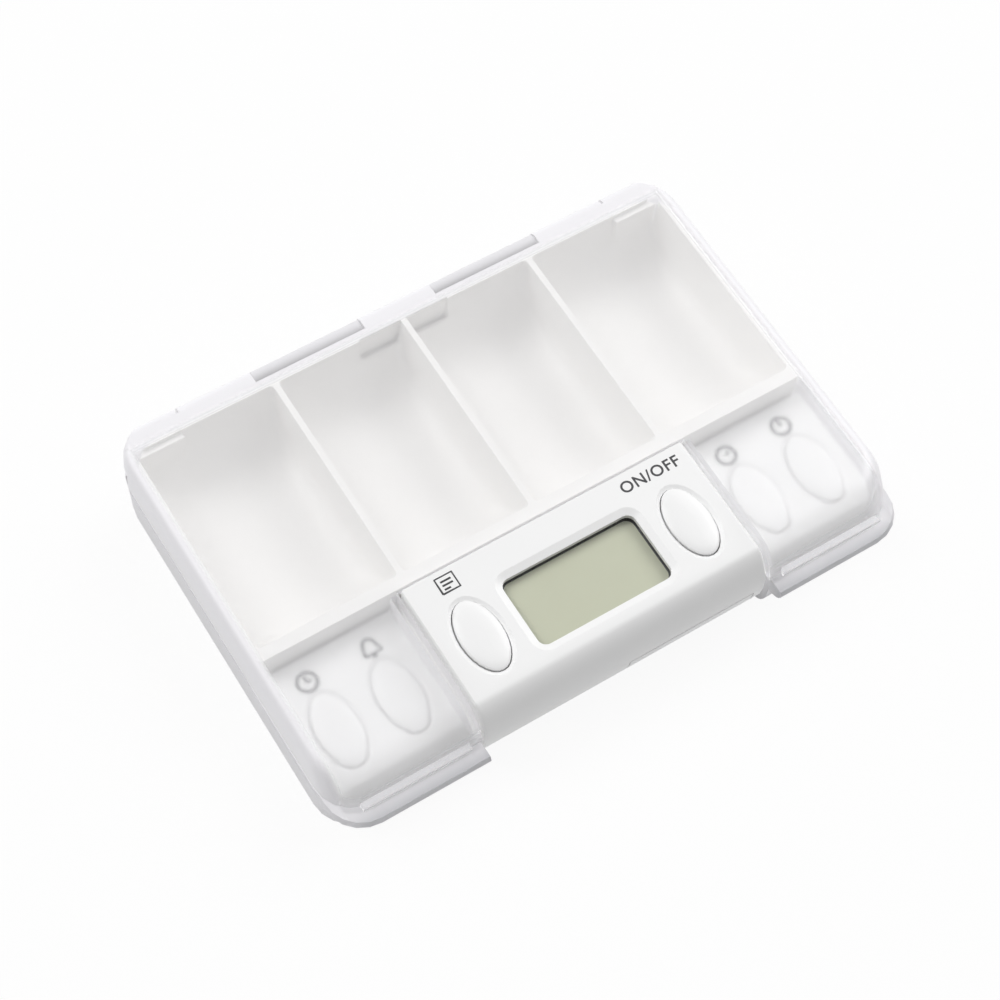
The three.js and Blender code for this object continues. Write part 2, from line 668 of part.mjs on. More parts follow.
function makeLid() {
  const wide = HALF_LENGTH + CUT;
  const outer = lidPlan(0, 0).intersect(sweepAlongX(lidSideView(), -wide, wide));
  const hollow = lidPlan(CASE_WALL, LID_PLATE)
    .intersect(sweepAlongX(lidHollowView(), -wide, wide));
  const rimHalf = NOTCH_HALF + NOTCH_RIM;
  const rimBlock = box(
    -rimHalf, rimHalf, FRONT - CUT, TIMER_BACK + SEAT_GAP, LID_BOTTOM, CASE_HEIGHT,
  );
  const notch = box(
    -NOTCH_HALF, NOTCH_HALF, FRONT - CUT, TIMER_BACK + SEAT_GAP, -CUT, CASE_HEIGHT + CUT,
  );
  let lid = cut(outer, cut(hollow, rimBlock), notch);
  for (const side of [-1, 1]) {
    const { lip, groove } = makeThumbLip(side);
    lid = cut(lid, groove).add(lip);
  }
  const hingeFront = HINGE_Y - KNUCKLE_RADIUS - KNUCKLE_GAP;
  for (const side of [-1, 1]) {
    const slotStart = side * (BASE_KNUCKLE_START - KNUCKLE_GAP);
    const slotEnd = side * (BASE_KNUCKLE_END + KNUCKLE_GAP);
    const endStart = side * LID_KNUCKLE_END;
    const endStop = side * (LID_KNUCKLE_END + HINGE_END_SLOT);
    lid = cut(
      lid,
      hingeCut(slotStart, slotEnd, hingeFront),
      hingeCut(endStart, endStop, hingeFront + KNUCKLE_RADIUS),
    );
  }
  return cut(lid, pinHole());
}

function hingeCut(start, end, front) {
  return box(Math.min(start, end), Math.max(start, end), front, BACK + CUT, 0, CASE_HEIGHT + CUT);
}

function makeHingePin() {
  const half = LID_KNUCKLE_END - CASE_WALL - PIN_CLEARANCE;
  return rod(-half, half, HINGE_Y, HINGE_Z, PIN_RADIUS, HOLE_STEPS);
}

// Pill tray
function scoopInset(radius, height) {
  const depth = Math.max(radius - height, 0);
  return radius - Math.sqrt(radius * radius - depth * depth);
}

// A pill compartment: upright walls that curve into the floor, grown by an offset
function makeTub(left, right, offset) {
  const floor = TRAY_BOTTOM + TRAY_WALL;
  const depth = TRAY_TOP - floor;
  const heightShares = [0, 0.03, 0.09, 0.18, 0.3, 0.48, 0.7, 1];
  const rings = heightShares.map((share) => {
    const height = share * depth;
    const draft = TUB_DRAFT * (1 - share);
    const side = scoopInset(SCOOP_SIDE, height) + draft;
    const front = scoopInset(SCOOP_FRONT, height) + draft;
    const back = scoopInset(SCOOP_BACK, height) + draft;
    return roundedRing(
      left + side - offset,
      right - side + offset,
      TRAY_INNER_FRONT + front - offset,
      TRAY_INNER_BACK - back + offset,
      TUB_CORNER + offset + SCOOP_SIDE * (1 - share) / 2,
      floor + height - (offset > 0 && share < 1 ? offset : 0),
    );
  });
  if (offset === 0) {
    rings.push(roundedRing(
      left, right, TRAY_INNER_FRONT, TRAY_INNER_BACK, TUB_CORNER, TRAY_TOP + CUT,
    ));
  }
  return loft(rings);
}

function compartmentSpans() {
  const inner = TRAY_HALF - TRAY_WALL;
  const spans = [];
  for (let number = 0; number < COMPARTMENTS; number += 1) {
    const leftDivider = (number - COMPARTMENTS / 2) * DIVIDER_PITCH + DIVIDER_WALL / 2;
    const rightDivider = (number + 1 - COMPARTMENTS / 2) * DIVIDER_PITCH - DIVIDER_WALL / 2;
    const left = number === 0 ? -inner : leftDivider;
    const right = number === COMPARTMENTS - 1 ? inner : rightDivider;
    spans.push([left, right]);
  }
  return spans;
}

function makeTraySkirt() {
  const ring = (wall, frontWall, height, draft) => roundedRing(
    -TRAY_HALF + wall + draft,
    TRAY_HALF - wall - draft,
    TRAY_FRONT + frontWall,
    TRAY_BACK - wall,
    CORNER_RADIUS - CASE_WALL - wall,
    height,
    TRAY_FRONT_CORNER,
  );
  const outer = loft([
    ring(0, 0, TRAY_BOTTOM + BOTTOM_ROUND, TRAY_DRAFT), ring(0, 0, TRAY_TOP, 0),
  ]);
  const inner = loft([
    ring(TRAY_WALL, TRAY_FRONT_WALL, 0, TRAY_DRAFT),
    ring(TRAY_WALL, TRAY_FRONT_WALL, TRAY_TOP + CUT, 0),
  ]);
  return cut(outer, inner);
}

function makePillTray() {
  const spans = compartmentSpans();
  const shells = spans.map(([left, right]) => makeTub(left, right, TRAY_WALL));
  const rooms = spans.map(([left, right]) => makeTub(left, right, 0));
  const body = cut(join(makeTraySkirt(), ...shells), ...rooms);
  const inner = TRAY_HALF - TRAY_WALL / 2;
  const ledges = bothSides((side) => box(
    Math.min(side * inner, side * (inner - LEDGE_WIDTH)),
    Math.max(side * inner, side * (inner - LEDGE_WIDTH)),
    TRAY_INNER_BACK - LEDGE_STEP,
    TRAY_BACK - TRAY_WALL / 2,
    TRAY_TOP / 2,
    TRAY_TOP - LEDGE_DROP,
  ));
  const cornerCut = bothSides((side) => box(
    Math.min(side * TRAY_HALF, side * (inner - LEDGE_WIDTH)),
    Math.max(side * TRAY_HALF, side * (inner - LEDGE_WIDTH)),
    TRAY_INNER_BACK,
    TRAY_BACK + CUT,
    TRAY_TOP - LEDGE_DROP,
    TRAY_TOP + CUT,
  ));
  const relief = bothSides((side) => box(
    Math.min(side * DIVIDER_WALL / 2, side * RELIEF_HALF_WIDTH),
    Math.max(side * DIVIDER_WALL / 2, side * RELIEF_HALF_WIDTH),
    TRAY_INNER_BACK - RELIEF_DEPTH,
    TRAY_INNER_BACK + RELIEF_DEPTH,
    TRAY_TOP / 2,
    TRAY_TOP + CUT,
  ));
  const envelope = loft([TRAY_BOTTOM, TRAY_TOP].map((height) => roundedRing(
    -TRAY_HALF,
    TRAY_HALF,
    TRAY_FRONT,
    TRAY_BACK,
    CORNER_RADIUS - CASE_WALL,
    height,
    TRAY_FRONT_CORNER,
  )));
  return cut(body.add(ledges), cornerCut, relief).intersect(envelope);
}

// Points up the timer's nose between two heights, inside or outside its wall: one ellipse below
// its widest height, and above it a second one that the flat top cuts off in a crease
function timerNose(wall, bottom, top) {
  const thinner = wall > 0 ? TIMER_TOP_WALL : 0;
  const low = NOSE_LOW_HALF_HEIGHT - thinner;
  const high = NOSE_HALF_HEIGHT + NOSE_CREST - thinner;
  const reach = NOSE_REACH - wall;
  const start = noseAngle(bottom, NOSE_CENTRE_Z, low);
  const middle = noseAngle(Math.min(top, NOSE_CENTRE_Z), NOSE_CENTRE_Z, low);
  const points = noseArc(
    NOSE_CENTRE_Y, NOSE_CENTRE_Z, reach, low, start, middle, NOSE_LOW_STEPS,
  );
  if (top > NOSE_CENTRE_Z) {
    const end = noseAngle(top, NOSE_CENTRE_Z, high);
    const upper = noseArc(NOSE_CENTRE_Y, NOSE_CENTRE_Z, reach, high, 0, end, NOSE_HIGH_STEPS);
    points.push(...upper.slice(1));
  }
  return points;
}

// Timer housing: outlines of the raised middle and of the low wings, seen from the side
function middleView(wall, bottom, top) {
  const outline = timerNose(wall, bottom, top);
  outline.push([TIMER_BACK - wall, outline[outline.length - 1][1]]);
  outline.push([TIMER_BACK - wall, bottom]);
  if (outline[0][1] > bottom) {
    outline.push([outline[0][0], bottom]);
  }
  return outline;
}

function wingView(wall, bottom, top) {
  const centreZ = WING_TOP - WING_NOSE_HEIGHT;
  const reach = WING_NOSE_REACH - wall;
  const halfHeight = WING_NOSE_HEIGHT - wall;
  const outline = noseArc(WING_NOSE_Y, centreZ, reach, halfHeight, 0, Math.PI / 2, NOSE_STEPS / 2);
  const kept = outline.filter(([, height]) => height > bottom);
  const frontY = kept.length < outline.length
    ? WING_NOSE_Y - reach * Math.cos(noseAngle(bottom, centreZ, halfHeight))
    : outline[0][0];
  const capped = kept.map(([y, height]) => [y, Math.min(height, top)]);
  capped.push([WING_BACK - wall, Math.min(WING_TOP - wall, top)]);
  capped.push([WING_BACK - wall, bottom]);
  capped.push([frontY, bottom]);
  return capped;
}

// The plan of the wings, with corners that follow the inside of the case
function makeWingPlan() {
  const ring = (inset, height) => roundedRing(
    -WING_HALF_WIDTH + inset,
    WING_HALF_WIDTH - inset,
    WING_FRONT + inset,
    BACK - inset,
    CORNER_RADIUS - CASE_WALL,
    height,
  );
  const inside = BOTTOM_ROUND / 2;
  return loft([
    ring(inside, WING_BOTTOM - PART_LINE),
    ring(inside, WING_BOTTOM),
    ring(0, WING_BOTTOM + inside),
    ring(0, WING_TOP + CUT),
  ]);
}

function makeOvalHole(x, surface) {
  const halfWidth = BUTTON_HALF_WIDTH + BUTTON_CLEARANCE;
  const halfLength = BUTTON_HALF_LENGTH + BUTTON_CLEARANCE;
  const ring = (grow, height) => ovalRing(
    x, BUTTON_ROW_Y, halfWidth + grow, halfLength + grow, height,
  );
  return loft([
    ring(0, surface - CUT / 2),
    ring(0, surface - BUTTON_HALO_DEPTH),
    ring(BUTTON_HALO, surface),
    ring(BUTTON_HALO, surface + CUT),
  ]);
}

function rectRing(length, depth, radius, grow, height) {
  return roundedRing(
    -length / 2 - grow,
    length / 2 + grow,
    BUTTON_ROW_Y - depth / 2 - grow,
    BUTTON_ROW_Y + depth / 2 + grow,
    radius + grow,
    height,
  );
}

function makeWindowHole() {
  const ring = (grow, height) => rectRing(
    WINDOW_LENGTH, WINDOW_DEPTH, WINDOW_CORNER, grow, height,
  );
  return loft([
    ring(0, CASE_HEIGHT - CUT / 2),
    ring(0, CASE_HEIGHT - WINDOW_BEVEL_DEPTH),
    ring(WINDOW_BEVEL, CASE_HEIGHT),
    ring(WINDOW_BEVEL, CASE_HEIGHT + CUT),
  ]);
}

function shellScrewPlaces() {
  return [-1, 1].flatMap((side) => [
    [side * SHELL_SCREW_OUTER_X, SHELL_SCREW_OUTER_Y],
    [side * SHELL_SCREW_INNER_X, SHELL_SCREW_INNER_Y],
  ]);
}

function boardScrewPlaces() {
  return [-1, 1].flatMap((side) => [
    [side * BOARD_SCREW_INNER_X, BOARD_SCREW_Y, TIMER_UNDERSIDE],
    [side * BOARD_SCREW_OUTER_X, BOARD_SCREW_Y, WING_UNDERSIDE],
  ]);
}

// The room inside the wings, with corners that leave the wall an even thickness
function makeWingRoom(wall) {
  const half = WING_HALF_WIDTH - wall;
  const ring = (height) => roundedRing(
    -half,
    half,
    WING_FRONT + wall,
    BACK,
    CORNER_RADIUS - CASE_WALL - wall,
    height,
  );
  return sweepAlongX(wingView(wall, -CUT, WING_TOP - wall), -half, half)
    .intersect(loft([ring(-CUT), ring(WING_TOP + CUT)]));
}

function makeTopShell() {
  const bottom = SPLIT_HEIGHT + SPLIT_GAP;
  const half = TIMER_HALF_WIDTH;
  const middle = sweepAlongX(middleView(0, bottom, CASE_HEIGHT), -half, half, TIMER_EDGE);
  const wings = sweepAlongX(wingView(0, bottom, WING_TOP), -WING_HALF_WIDTH, WING_HALF_WIDTH)
    .intersect(makeWingPlan());
  const room = sweepAlongX(
    middleView(TIMER_WALL, bottom - CUT, TIMER_UNDERSIDE), -half + TIMER_WALL, half - TIMER_WALL,
  );
  const wingRoom = makeWingRoom(TIMER_WALL);
  const holes = [-1, 1].flatMap((side) => [
    makeOvalHole(side * CENTRE_BUTTON_X, CASE_HEIGHT),
    makeOvalHole(side * INNER_WING_BUTTON_X, WING_TOP),
    makeOvalHole(side * OUTER_WING_BUTTON_X, WING_TOP),
  ]);
  const shellBosses = shellScrewPlaces().map(([x, y]) => post(
    x, y, SHELL_BOSS_RADIUS, bottom, WING_UNDERSIDE + FIT_GAP,
  ));
  const boardBosses = boardScrewPlaces().map(([x, y, top]) => post(
    x, y, BOARD_BOSS_RADIUS, BOARD_TOP + FIT_GAP, top + FIT_GAP,
  ));
  const pilot = SCREW_RADIUS + SCREW_CLEARANCE;
  const shellPilots = shellScrewPlaces().map(([x, y]) => post(
    x, y, pilot, bottom - CUT, shellScrewTop() + FIT_GAP,
  ));
  const boardPilots = boardScrewPlaces().map(([x, y]) => post(
    x, y, pilot, BOARD_BOTTOM, boardScrewTop() + FIT_GAP,
  ));
  const lipNotch = box(
    DOOR_CENTRE_X - DOOR_WIDTH / 2 - DOOR_CLEARANCE,
    DOOR_CENTRE_X + DOOR_WIDTH / 2 + DOOR_CLEARANCE,
    FRONT,
    NOSE_CENTRE_Y,
    0,
    DOOR_LIP_TOP + DOOR_CLEARANCE,
  );
  const hollowed = cut(middle.add(wings), room.add(wingRoom), ...holes, makeWindowHole());
  const bossed = join(hollowed, ...shellBosses, ...boardBosses);
  return cut(bossed, ...shellPilots, ...boardPilots, lipNotch);
}

// Timer bottom shell, with the cell cradle, the sounder seat and the door rails
function makeBottomShell() {
  const top = SPLIT_HEIGHT;
  const half = TIMER_HALF_WIDTH;
  const middle = sweepAlongX(middleView(0, UNDERSIDE, top), -half, half);
  const wings = sweepAlongX(wingView(0, WING_BOTTOM, top), -WING_HALF_WIDTH, WING_HALF_WIDTH)
    .intersect(makeWingPlan());
  const rooms = join(
    box(
      -half + TIMER_WALL, half - TIMER_WALL,
      MIDDLE_ROOM_FRONT, TIMER_BACK - TIMER_WALL, FLOOR_TOP, top + CUT,
    ),
    makeWingRoom(TIMER_WALL).intersect(box(
      -HALF_LENGTH, HALF_LENGTH, FRONT, WING_BACK - TIMER_WALL,
      WING_BOTTOM + TIMER_WALL, top + CUT,
    )),
  );
  const doorHalf = DOOR_WIDTH / 2 + DOOR_CLEARANCE;
  const cradle = box(
    DOOR_CENTRE_X - CRADLE_HALF_LENGTH,
    DOOR_CENTRE_X + CRADLE_HALF_LENGTH,
    BUTTON_ROW_Y - CELL_RADIUS - CELL_CLEARANCE - CRADLE_WALL,
    DOOR_BACK + DOOR_TONGUE + CRADLE_WALL,
    FLOOR_TOP - FIT_GAP,
    CRADLE_HEIGHT,
  );
  const pockets = cellPlaces().map(([x, y]) => post(
    x, y, CELL_RADIUS + CELL_CLEARANCE, 0, top + CUT, OVAL_STEPS,
  ));
  const doorway = box(
    DOOR_CENTRE_X - doorHalf,
    DOOR_CENTRE_X + doorHalf,
    FRONT,
    DOOR_BACK + DOOR_CLEARANCE,
    -CUT,
    FLOOR_TOP,
  );
  const lipWay = box(
    DOOR_CENTRE_X - doorHalf,
    DOOR_CENTRE_X + doorHalf,
    FRONT,
    NOSE_CENTRE_Y + DOOR_CLEARANCE,
    -CUT,
    top + CUT,
  );
  const railGroove = box(
    DOOR_CENTRE_X - doorHalf - DOOR_TONGUE,
    DOOR_CENTRE_X + doorHalf + DOOR_TONGUE,
    FRONT,
    DOOR_BACK + DOOR_CLEARANCE,
    DOOR_TOP - DOOR_TONGUE_THICKNESS - FIT_GAP,
    FLOOR_TOP,
  );
  const [leftPlace, rightPlace] = cellPlaces();
  const linkWay = box(
    leftPlace[0] - CONTACT_WIDTH / 2 - FIT_GAP,
    rightPlace[0] + CONTACT_WIDTH / 2 + FIT_GAP,
    FRONT,
    BUTTON_ROW_Y + CONTACT_WIDTH / 2 + FIT_GAP,
    0,
    CELL_BOTTOM,
  );
  const headRooms = boardScrewPlaces().map(([x, y]) => post(
    x, y, SCREW_HEAD_RADIUS + SEAT_GAP, BOARD_BOTTOM - SCREW_HEAD_HEIGHT - SEAT_GAP * 2, top + CUT,
  ));
  const seat = cut(
    post(
      SOUNDER_X, BUTTON_ROW_Y, SOUNDER_RADIUS + TIMER_WALL / 2,
      FLOOR_TOP - FIT_GAP, FLOOR_TOP + SOUNDER_SEAT_HEIGHT, OVAL_STEPS,
    ),
    post(
      SOUNDER_X, BUTTON_ROW_Y, SOUNDER_RADIUS - TIMER_WALL, 0, SPLIT_HEIGHT, OVAL_STEPS,
    ),
  );
  const soundHoles = soundHolePlaces().map(([x, y]) => post(
    x, y, SOUND_HOLE_RADIUS, -CUT, FLOOR_TOP + FIT_GAP / 2,
  ));
  const feet = shellScrewPlaces().map(([x, y]) => post(
    x, y, SHELL_BOSS_RADIUS + TIMER_WALL / 2, WING_BOTTOM, top,
  ));
  const headPockets = shellScrewPlaces().map(([x, y]) => post(
    x, y, SCREW_HEAD_RADIUS + SCREW_CLEARANCE, -CUT, shellScrewSeat(),
  ));
  const screwHoles = shellScrewPlaces().map(([x, y]) => post(
    x, y, SCREW_RADIUS + SCREW_CLEARANCE, 0, top + CUT,
  ));
  const hollowed = cut(middle.add(wings), rooms);
  const fitted = join(hollowed, cradle, seat, ...feet);
  return cut(
    fitted, doorway, lipWay, railGroove, linkWay,
    ...pockets, ...soundHoles, ...headPockets, ...screwHoles, ...headRooms,
  );
}

function soundHolePlaces() {
  const places = [[SOUNDER_X, BUTTON_ROW_Y]];
  for (let hole = 0; hole < SOUND_HOLES; hole += 1) {
    const angle = (2 * Math.PI * hole) / SOUND_HOLES;
    const x = SOUNDER_X + SOUND_HOLE_CIRCLE * Math.cos(angle);
    places.push([x, BUTTON_ROW_Y + SOUND_HOLE_CIRCLE * Math.sin(angle)]);
  }
  return places;
}

// Battery door: a sliding plate with side tongues, grip ribs and a front lip on the nose curve
function makeBatteryDoor() {
  const left = DOOR_CENTRE_X - DOOR_WIDTH / 2;
  const right = DOOR_CENTRE_X + DOOR_WIDTH / 2;
  const outer = noseArc(
    NOSE_CENTRE_Y, NOSE_CENTRE_Z, NOSE_REACH, NOSE_LOW_HALF_HEIGHT,
    noseAngle(UNDERSIDE, NOSE_CENTRE_Z, NOSE_LOW_HALF_HEIGHT),
    noseAngle(DOOR_LIP_TOP, NOSE_CENTRE_Z, NOSE_LOW_HALF_HEIGHT),
  );
  const inside = NOSE_LOW_HALF_HEIGHT - DOOR_PLATE;
  const inner = noseArc(
    NOSE_CENTRE_Y, NOSE_CENTRE_Z, NOSE_REACH - DOOR_LIP_WALL, inside,
    noseAngle(DOOR_LIP_TOP, NOSE_CENTRE_Z, inside),
    noseAngle(DOOR_TOP, NOSE_CENTRE_Z, inside + FIT_GAP),
  );
  const outline = [...outer, ...inner, [DOOR_BACK, DOOR_TOP], [DOOR_BACK, UNDERSIDE]];
  const body = sweepAlongX(outline, left, right);
  const tongues = bothSides((side) => {
    const edge = DOOR_CENTRE_X + side * DOOR_WIDTH / 2;
    return box(
      Math.min(edge - side * DOOR_TONGUE, edge + side * DOOR_TONGUE),
      Math.max(edge - side * DOOR_TONGUE, edge + side * DOOR_TONGUE),
      NOSE_CENTRE_Y + DOOR_LIP_WALL,
      DOOR_BACK,
      DOOR_TOP - DOOR_TONGUE_THICKNESS,
      DOOR_TOP,
    );
  });
  const grips = [];
  for (let rib = 0; rib < GRIP_RIBS; rib += 1) {
    const y = NOSE_CENTRE_Y + DOOR_LIP_WALL + rib * GRIP_PITCH;
    grips.push(box(
      DOOR_CENTRE_X - DOOR_WIDTH / 4, DOOR_CENTRE_X + DOOR_WIDTH / 4,
      y, y + GRIP_WIDTH, -CUT, UNDERSIDE + GRIP_DEPTH,
    ));
  }
  return cut(body.add(tongues), ...grips);
}

// Buttons: an oval cap with a domed top, a flange under the shell and a stem to its key dome
function makeButton(x, surface, underside) {
  const flangeTop = underside - FIT_GAP;
  const flangeBottom = flangeTop - BUTTON_FLANGE_THICKNESS;
  const stemBottom = KEY_DOME_TOP + BUTTON_TRAVEL + FIT_GAP;
  const ring = (grow, height) => ovalRing(
    x, BUTTON_ROW_Y, BUTTON_HALF_WIDTH + grow, BUTTON_HALF_LENGTH + grow, height,
  );
  const domeShares = [0, 0.35, 0.7, 1];
  const collar = loft([ring(BUTTON_FLANGE, flangeBottom), ring(BUTTON_FLANGE, flangeTop)]);
  const flange = surface === WING_TOP
    ? collar.intersect(makeWingRoom(TIMER_WALL + FIT_GAP))
    : collar;
  const rings = [ring(0, flangeBottom + FIT_GAP)];
  for (const share of domeShares) {
    const shrink = BUTTON_HALF_WIDTH * share * share * BUTTON_CROWN_SHARE;
    const rise = BUTTON_DOME * Math.sin((Math.PI / 2) * share);
    rings.push(ring(-shrink, surface + rise));
  }
  const cap = loft(rings).add(flange);
  if (flangeBottom - stemBottom < FIT_GAP) {
    return cap;
  }
  return cap.add(post(
    x, BUTTON_ROW_Y, BUTTON_STEM, stemBottom, flangeBottom + FIT_GAP / 2, OVAL_STEPS / 2,
  ));
}

// Rubber key mat: a thin sheet on the board with one dome under each button
function makeKeyMat(places) {
  const bottom = BOARD_TOP + FIT_GAP / 2;
  const top = bottom + KEY_MAT_THICKNESS;
  const left = Math.min(...places) - KEY_MAT_MARGIN;
  const right = Math.max(...places) + KEY_MAT_MARGIN;
  const front = BUTTON_ROW_Y - KEY_MAT_MARGIN;
  const back = BUTTON_ROW_Y + KEY_MAT_MARGIN;
  const sheet = loft([
    roundedRing(left, right, front, back, WINDOW_CORNER, bottom),
    roundedRing(left, right, front, back, WINDOW_CORNER, top),
  ]);
  const domes = places.map((x) => loft([
    ovalRing(x, BUTTON_ROW_Y, KEY_DOME_RADIUS, KEY_DOME_RADIUS, top - FIT_GAP, HOLE_STEPS),
    ovalRing(x, BUTTON_ROW_Y, KEY_DOME_RADIUS, KEY_DOME_RADIUS, top, HOLE_STEPS),
    ovalRing(x, BUTTON_ROW_Y, KEY_CROWN_RADIUS, KEY_CROWN_RADIUS, KEY_DOME_TOP, HOLE_STEPS),
  ]));
  return join(sheet, ...domes);
}

// Display
function makeDisplayLens() {
  const ring = (height) => rectRing(
    WINDOW_LENGTH, WINDOW_DEPTH, WINDOW_CORNER / 2, LENS_MARGIN, height,
  );
  return loft([ring(LENS_BOTTOM), ring(LENS_BOTTOM + LENS_THICKNESS)]);
}

// The glass cell: a wide back plate and a shorter front plate that bares the contact edge
function makeDisplayCell() {
  const ring = (grow, height) => rectRing(
    WINDOW_LENGTH, WINDOW_DEPTH, WINDOW_CORNER / 2, grow, height,
  );
  const backPlate = loft([ring(LCD_MARGIN, LCD_BOTTOM), ring(LCD_MARGIN, LCD_TOP)]);
  const bared = box(
    -HALF_LENGTH, HALF_LENGTH,
    BUTTON_ROW_Y + WINDOW_DEPTH / 2 + LCD_MARGIN / 2, BACK,
    LCD_TOP - LCD_THICKNESS / 2, LCD_TOP + CUT,
  );
  return cut(backPlate, bared);
}

function makeDisplayHolder() {
  const ring = (grow, height) => rectRing(
    WINDOW_LENGTH, WINDOW_DEPTH, WINDOW_CORNER / 2, LCD_MARGIN + grow, height,
  );
  const bottom = BOARD_TOP + FIT_GAP;
  const outer = loft([ring(HOLDER_WALL, bottom), ring(HOLDER_WALL, LCD_TOP - FIT_GAP)]);
  const pocket = loft([ring(FIT_GAP, LCD_BOTTOM - FIT_GAP), ring(FIT_GAP, LCD_TOP + CUT)]);
  const under = loft([ring(0, bottom - CUT), ring(0, LCD_BOTTOM - HOLDER_LEDGE_HEIGHT)]);
  const through = loft([ring(-HOLDER_LEDGE, bottom), ring(-HOLDER_LEDGE, LCD_TOP)]);
  const zebraWay = box(
    -ZEBRA_LENGTH / 2 - FIT_GAP * 2, ZEBRA_LENGTH / 2 + FIT_GAP * 2,
    zebraBack() - ZEBRA_WIDTH - FIT_GAP * 2, zebraBack() + FIT_GAP * 2,
    bottom - CUT, LCD_TOP,
  );
  return cut(outer, pocket, under, through, zebraWay);
}

function zebraBack() {
  return BUTTON_ROW_Y + WINDOW_DEPTH / 2 + LCD_MARGIN - FIT_GAP * 2;
}

function makeZebraStrip() {
  return box(
    -ZEBRA_LENGTH / 2, ZEBRA_LENGTH / 2,
    zebraBack() - ZEBRA_WIDTH, zebraBack(),
    BOARD_TOP + FIT_GAP / 2, LCD_BOTTOM - FIT_GAP / 2,
  );
}

// Circuit board, notched round the bosses of the housing screws
function makeBoard() {
  const back = TIMER_BACK - TIMER_WALL - BOARD_BACK_GAP;
  const shape = new THREE.Shape();
  const inner = TIMER_HALF_WIDTH - TIMER_WALL - FIT_GAP;
  shape.moveTo(-BOARD_HALF_LENGTH, back);
  shape.lineTo(-BOARD_HALF_LENGTH, BOARD_WING_FRONT + BOARD_CHAMFER);
  shape.lineTo(-BOARD_HALF_LENGTH + BOARD_CHAMFER, BOARD_WING_FRONT);
  shape.lineTo(-inner, BOARD_WING_FRONT);
  shape.lineTo(-inner, BOARD_FRONT);
  shape.lineTo(inner, BOARD_FRONT);
  shape.lineTo(inner, BOARD_WING_FRONT);
  shape.lineTo(BOARD_HALF_LENGTH - BOARD_CHAMFER, BOARD_WING_FRONT);
  shape.lineTo(BOARD_HALF_LENGTH, BOARD_WING_FRONT + BOARD_CHAMFER);
  shape.lineTo(BOARD_HALF_LENGTH, back);
  const geometry = new THREE.ExtrudeGeometry(shape, { depth: BOARD_THICKNESS, bevelEnabled: false });
  geometry.translate(0, 0, BOARD_BOTTOM);
  const around = SHELL_BOSS_RADIUS + SEAT_GAP;
  const notches = shellScrewPlaces().map(([x, y]) => post(x, y, around, 0, CASE_HEIGHT));
  notches.push(bothSides((side) => box(
    side > 0 ? SHELL_SCREW_OUTER_X : -HALF_LENGTH,
    side > 0 ? HALF_LENGTH : -SHELL_SCREW_OUTER_X,
    SHELL_SCREW_OUTER_Y - around,
    BACK,
    0,
    CASE_HEIGHT,
  )));
  const holes = boardScrewPlaces().map(([x, y]) => post(
    x, y, SCREW_RADIUS + SCREW_CLEARANCE, 0, CASE_HEIGHT,
  ));
  return cut(toSolid(geometry), ...notches, ...holes);
}

function makeChipBlob() {
  const shares = [1, 0.92, 0.72, 0.4];
  const bottom = BOARD_TOP + FIT_GAP / 2;
  return loft(shares.map((share, level) => ovalRing(
    0, BUTTON_ROW_Y - WINDOW_DEPTH / 8, BLOB_RADIUS * share, BLOB_RADIUS * share,
    bottom + BLOB_HEIGHT * (level / (shares.length - 1)), OVAL_STEPS / 2,
  )));
}

function makeCrystal() {
  const y = TIMER_BACK - TIMER_WALL - CRYSTAL_RADIUS - BOARD_BACK_GAP - FIT_GAP;
  const left = -CRYSTAL_LENGTH * 2;
  return rod(
    left, left + CRYSTAL_LENGTH, y, BOARD_TOP + FIT_GAP + CRYSTAL_RADIUS, CRYSTAL_RADIUS, HOLE_STEPS,
  );
}

function makeChipPart(number) {
  const left = CHIP_PITCH * number;
  const back = TIMER_BACK - TIMER_WALL - BOARD_BACK_GAP - CHIP_WIDTH;
  return box(
    left, left + CHIP_LENGTH, back - CHIP_WIDTH, back,
    BOARD_TOP + FIT_GAP / 2, BOARD_TOP + CHIP_WIDTH,
  );
}

// Cells and their contacts
function cellPlaces() {
  return [-1, 1].map((side) => [DOOR_CENTRE_X + side * CELL_SPACING / 2, BUTTON_ROW_Y]);
}

// A button cell as a turned can with its smaller pole on one side
function makeCell([x, y], poleUp) {
  const lip = CELL_POLE_HEIGHT;
  const profile = [
    new THREE.Vector2(0, 0),
    new THREE.Vector2(CELL_RADIUS - lip, 0),
    new THREE.Vector2(CELL_RADIUS, lip),
    new THREE.Vector2(CELL_RADIUS, CELL_HEIGHT - CELL_CRIMP),
    new THREE.Vector2(CELL_RADIUS - lip, CELL_HEIGHT - lip),
    new THREE.Vector2(CELL_POLE_RADIUS, CELL_HEIGHT - lip),
    new THREE.Vector2(CELL_POLE_RADIUS - lip, CELL_HEIGHT),
    new THREE.Vector2(0, CELL_HEIGHT),
  ];
  const geometry = new THREE.LatheGeometry(profile, OVAL_STEPS);
  geometry.rotateX(poleUp ? Math.PI / 2 : -Math.PI / 2);
  geometry.translate(x, y, CELL_BOTTOM + (poleUp ? 0 : CELL_HEIGHT));
  return toSolid(geometry);
}

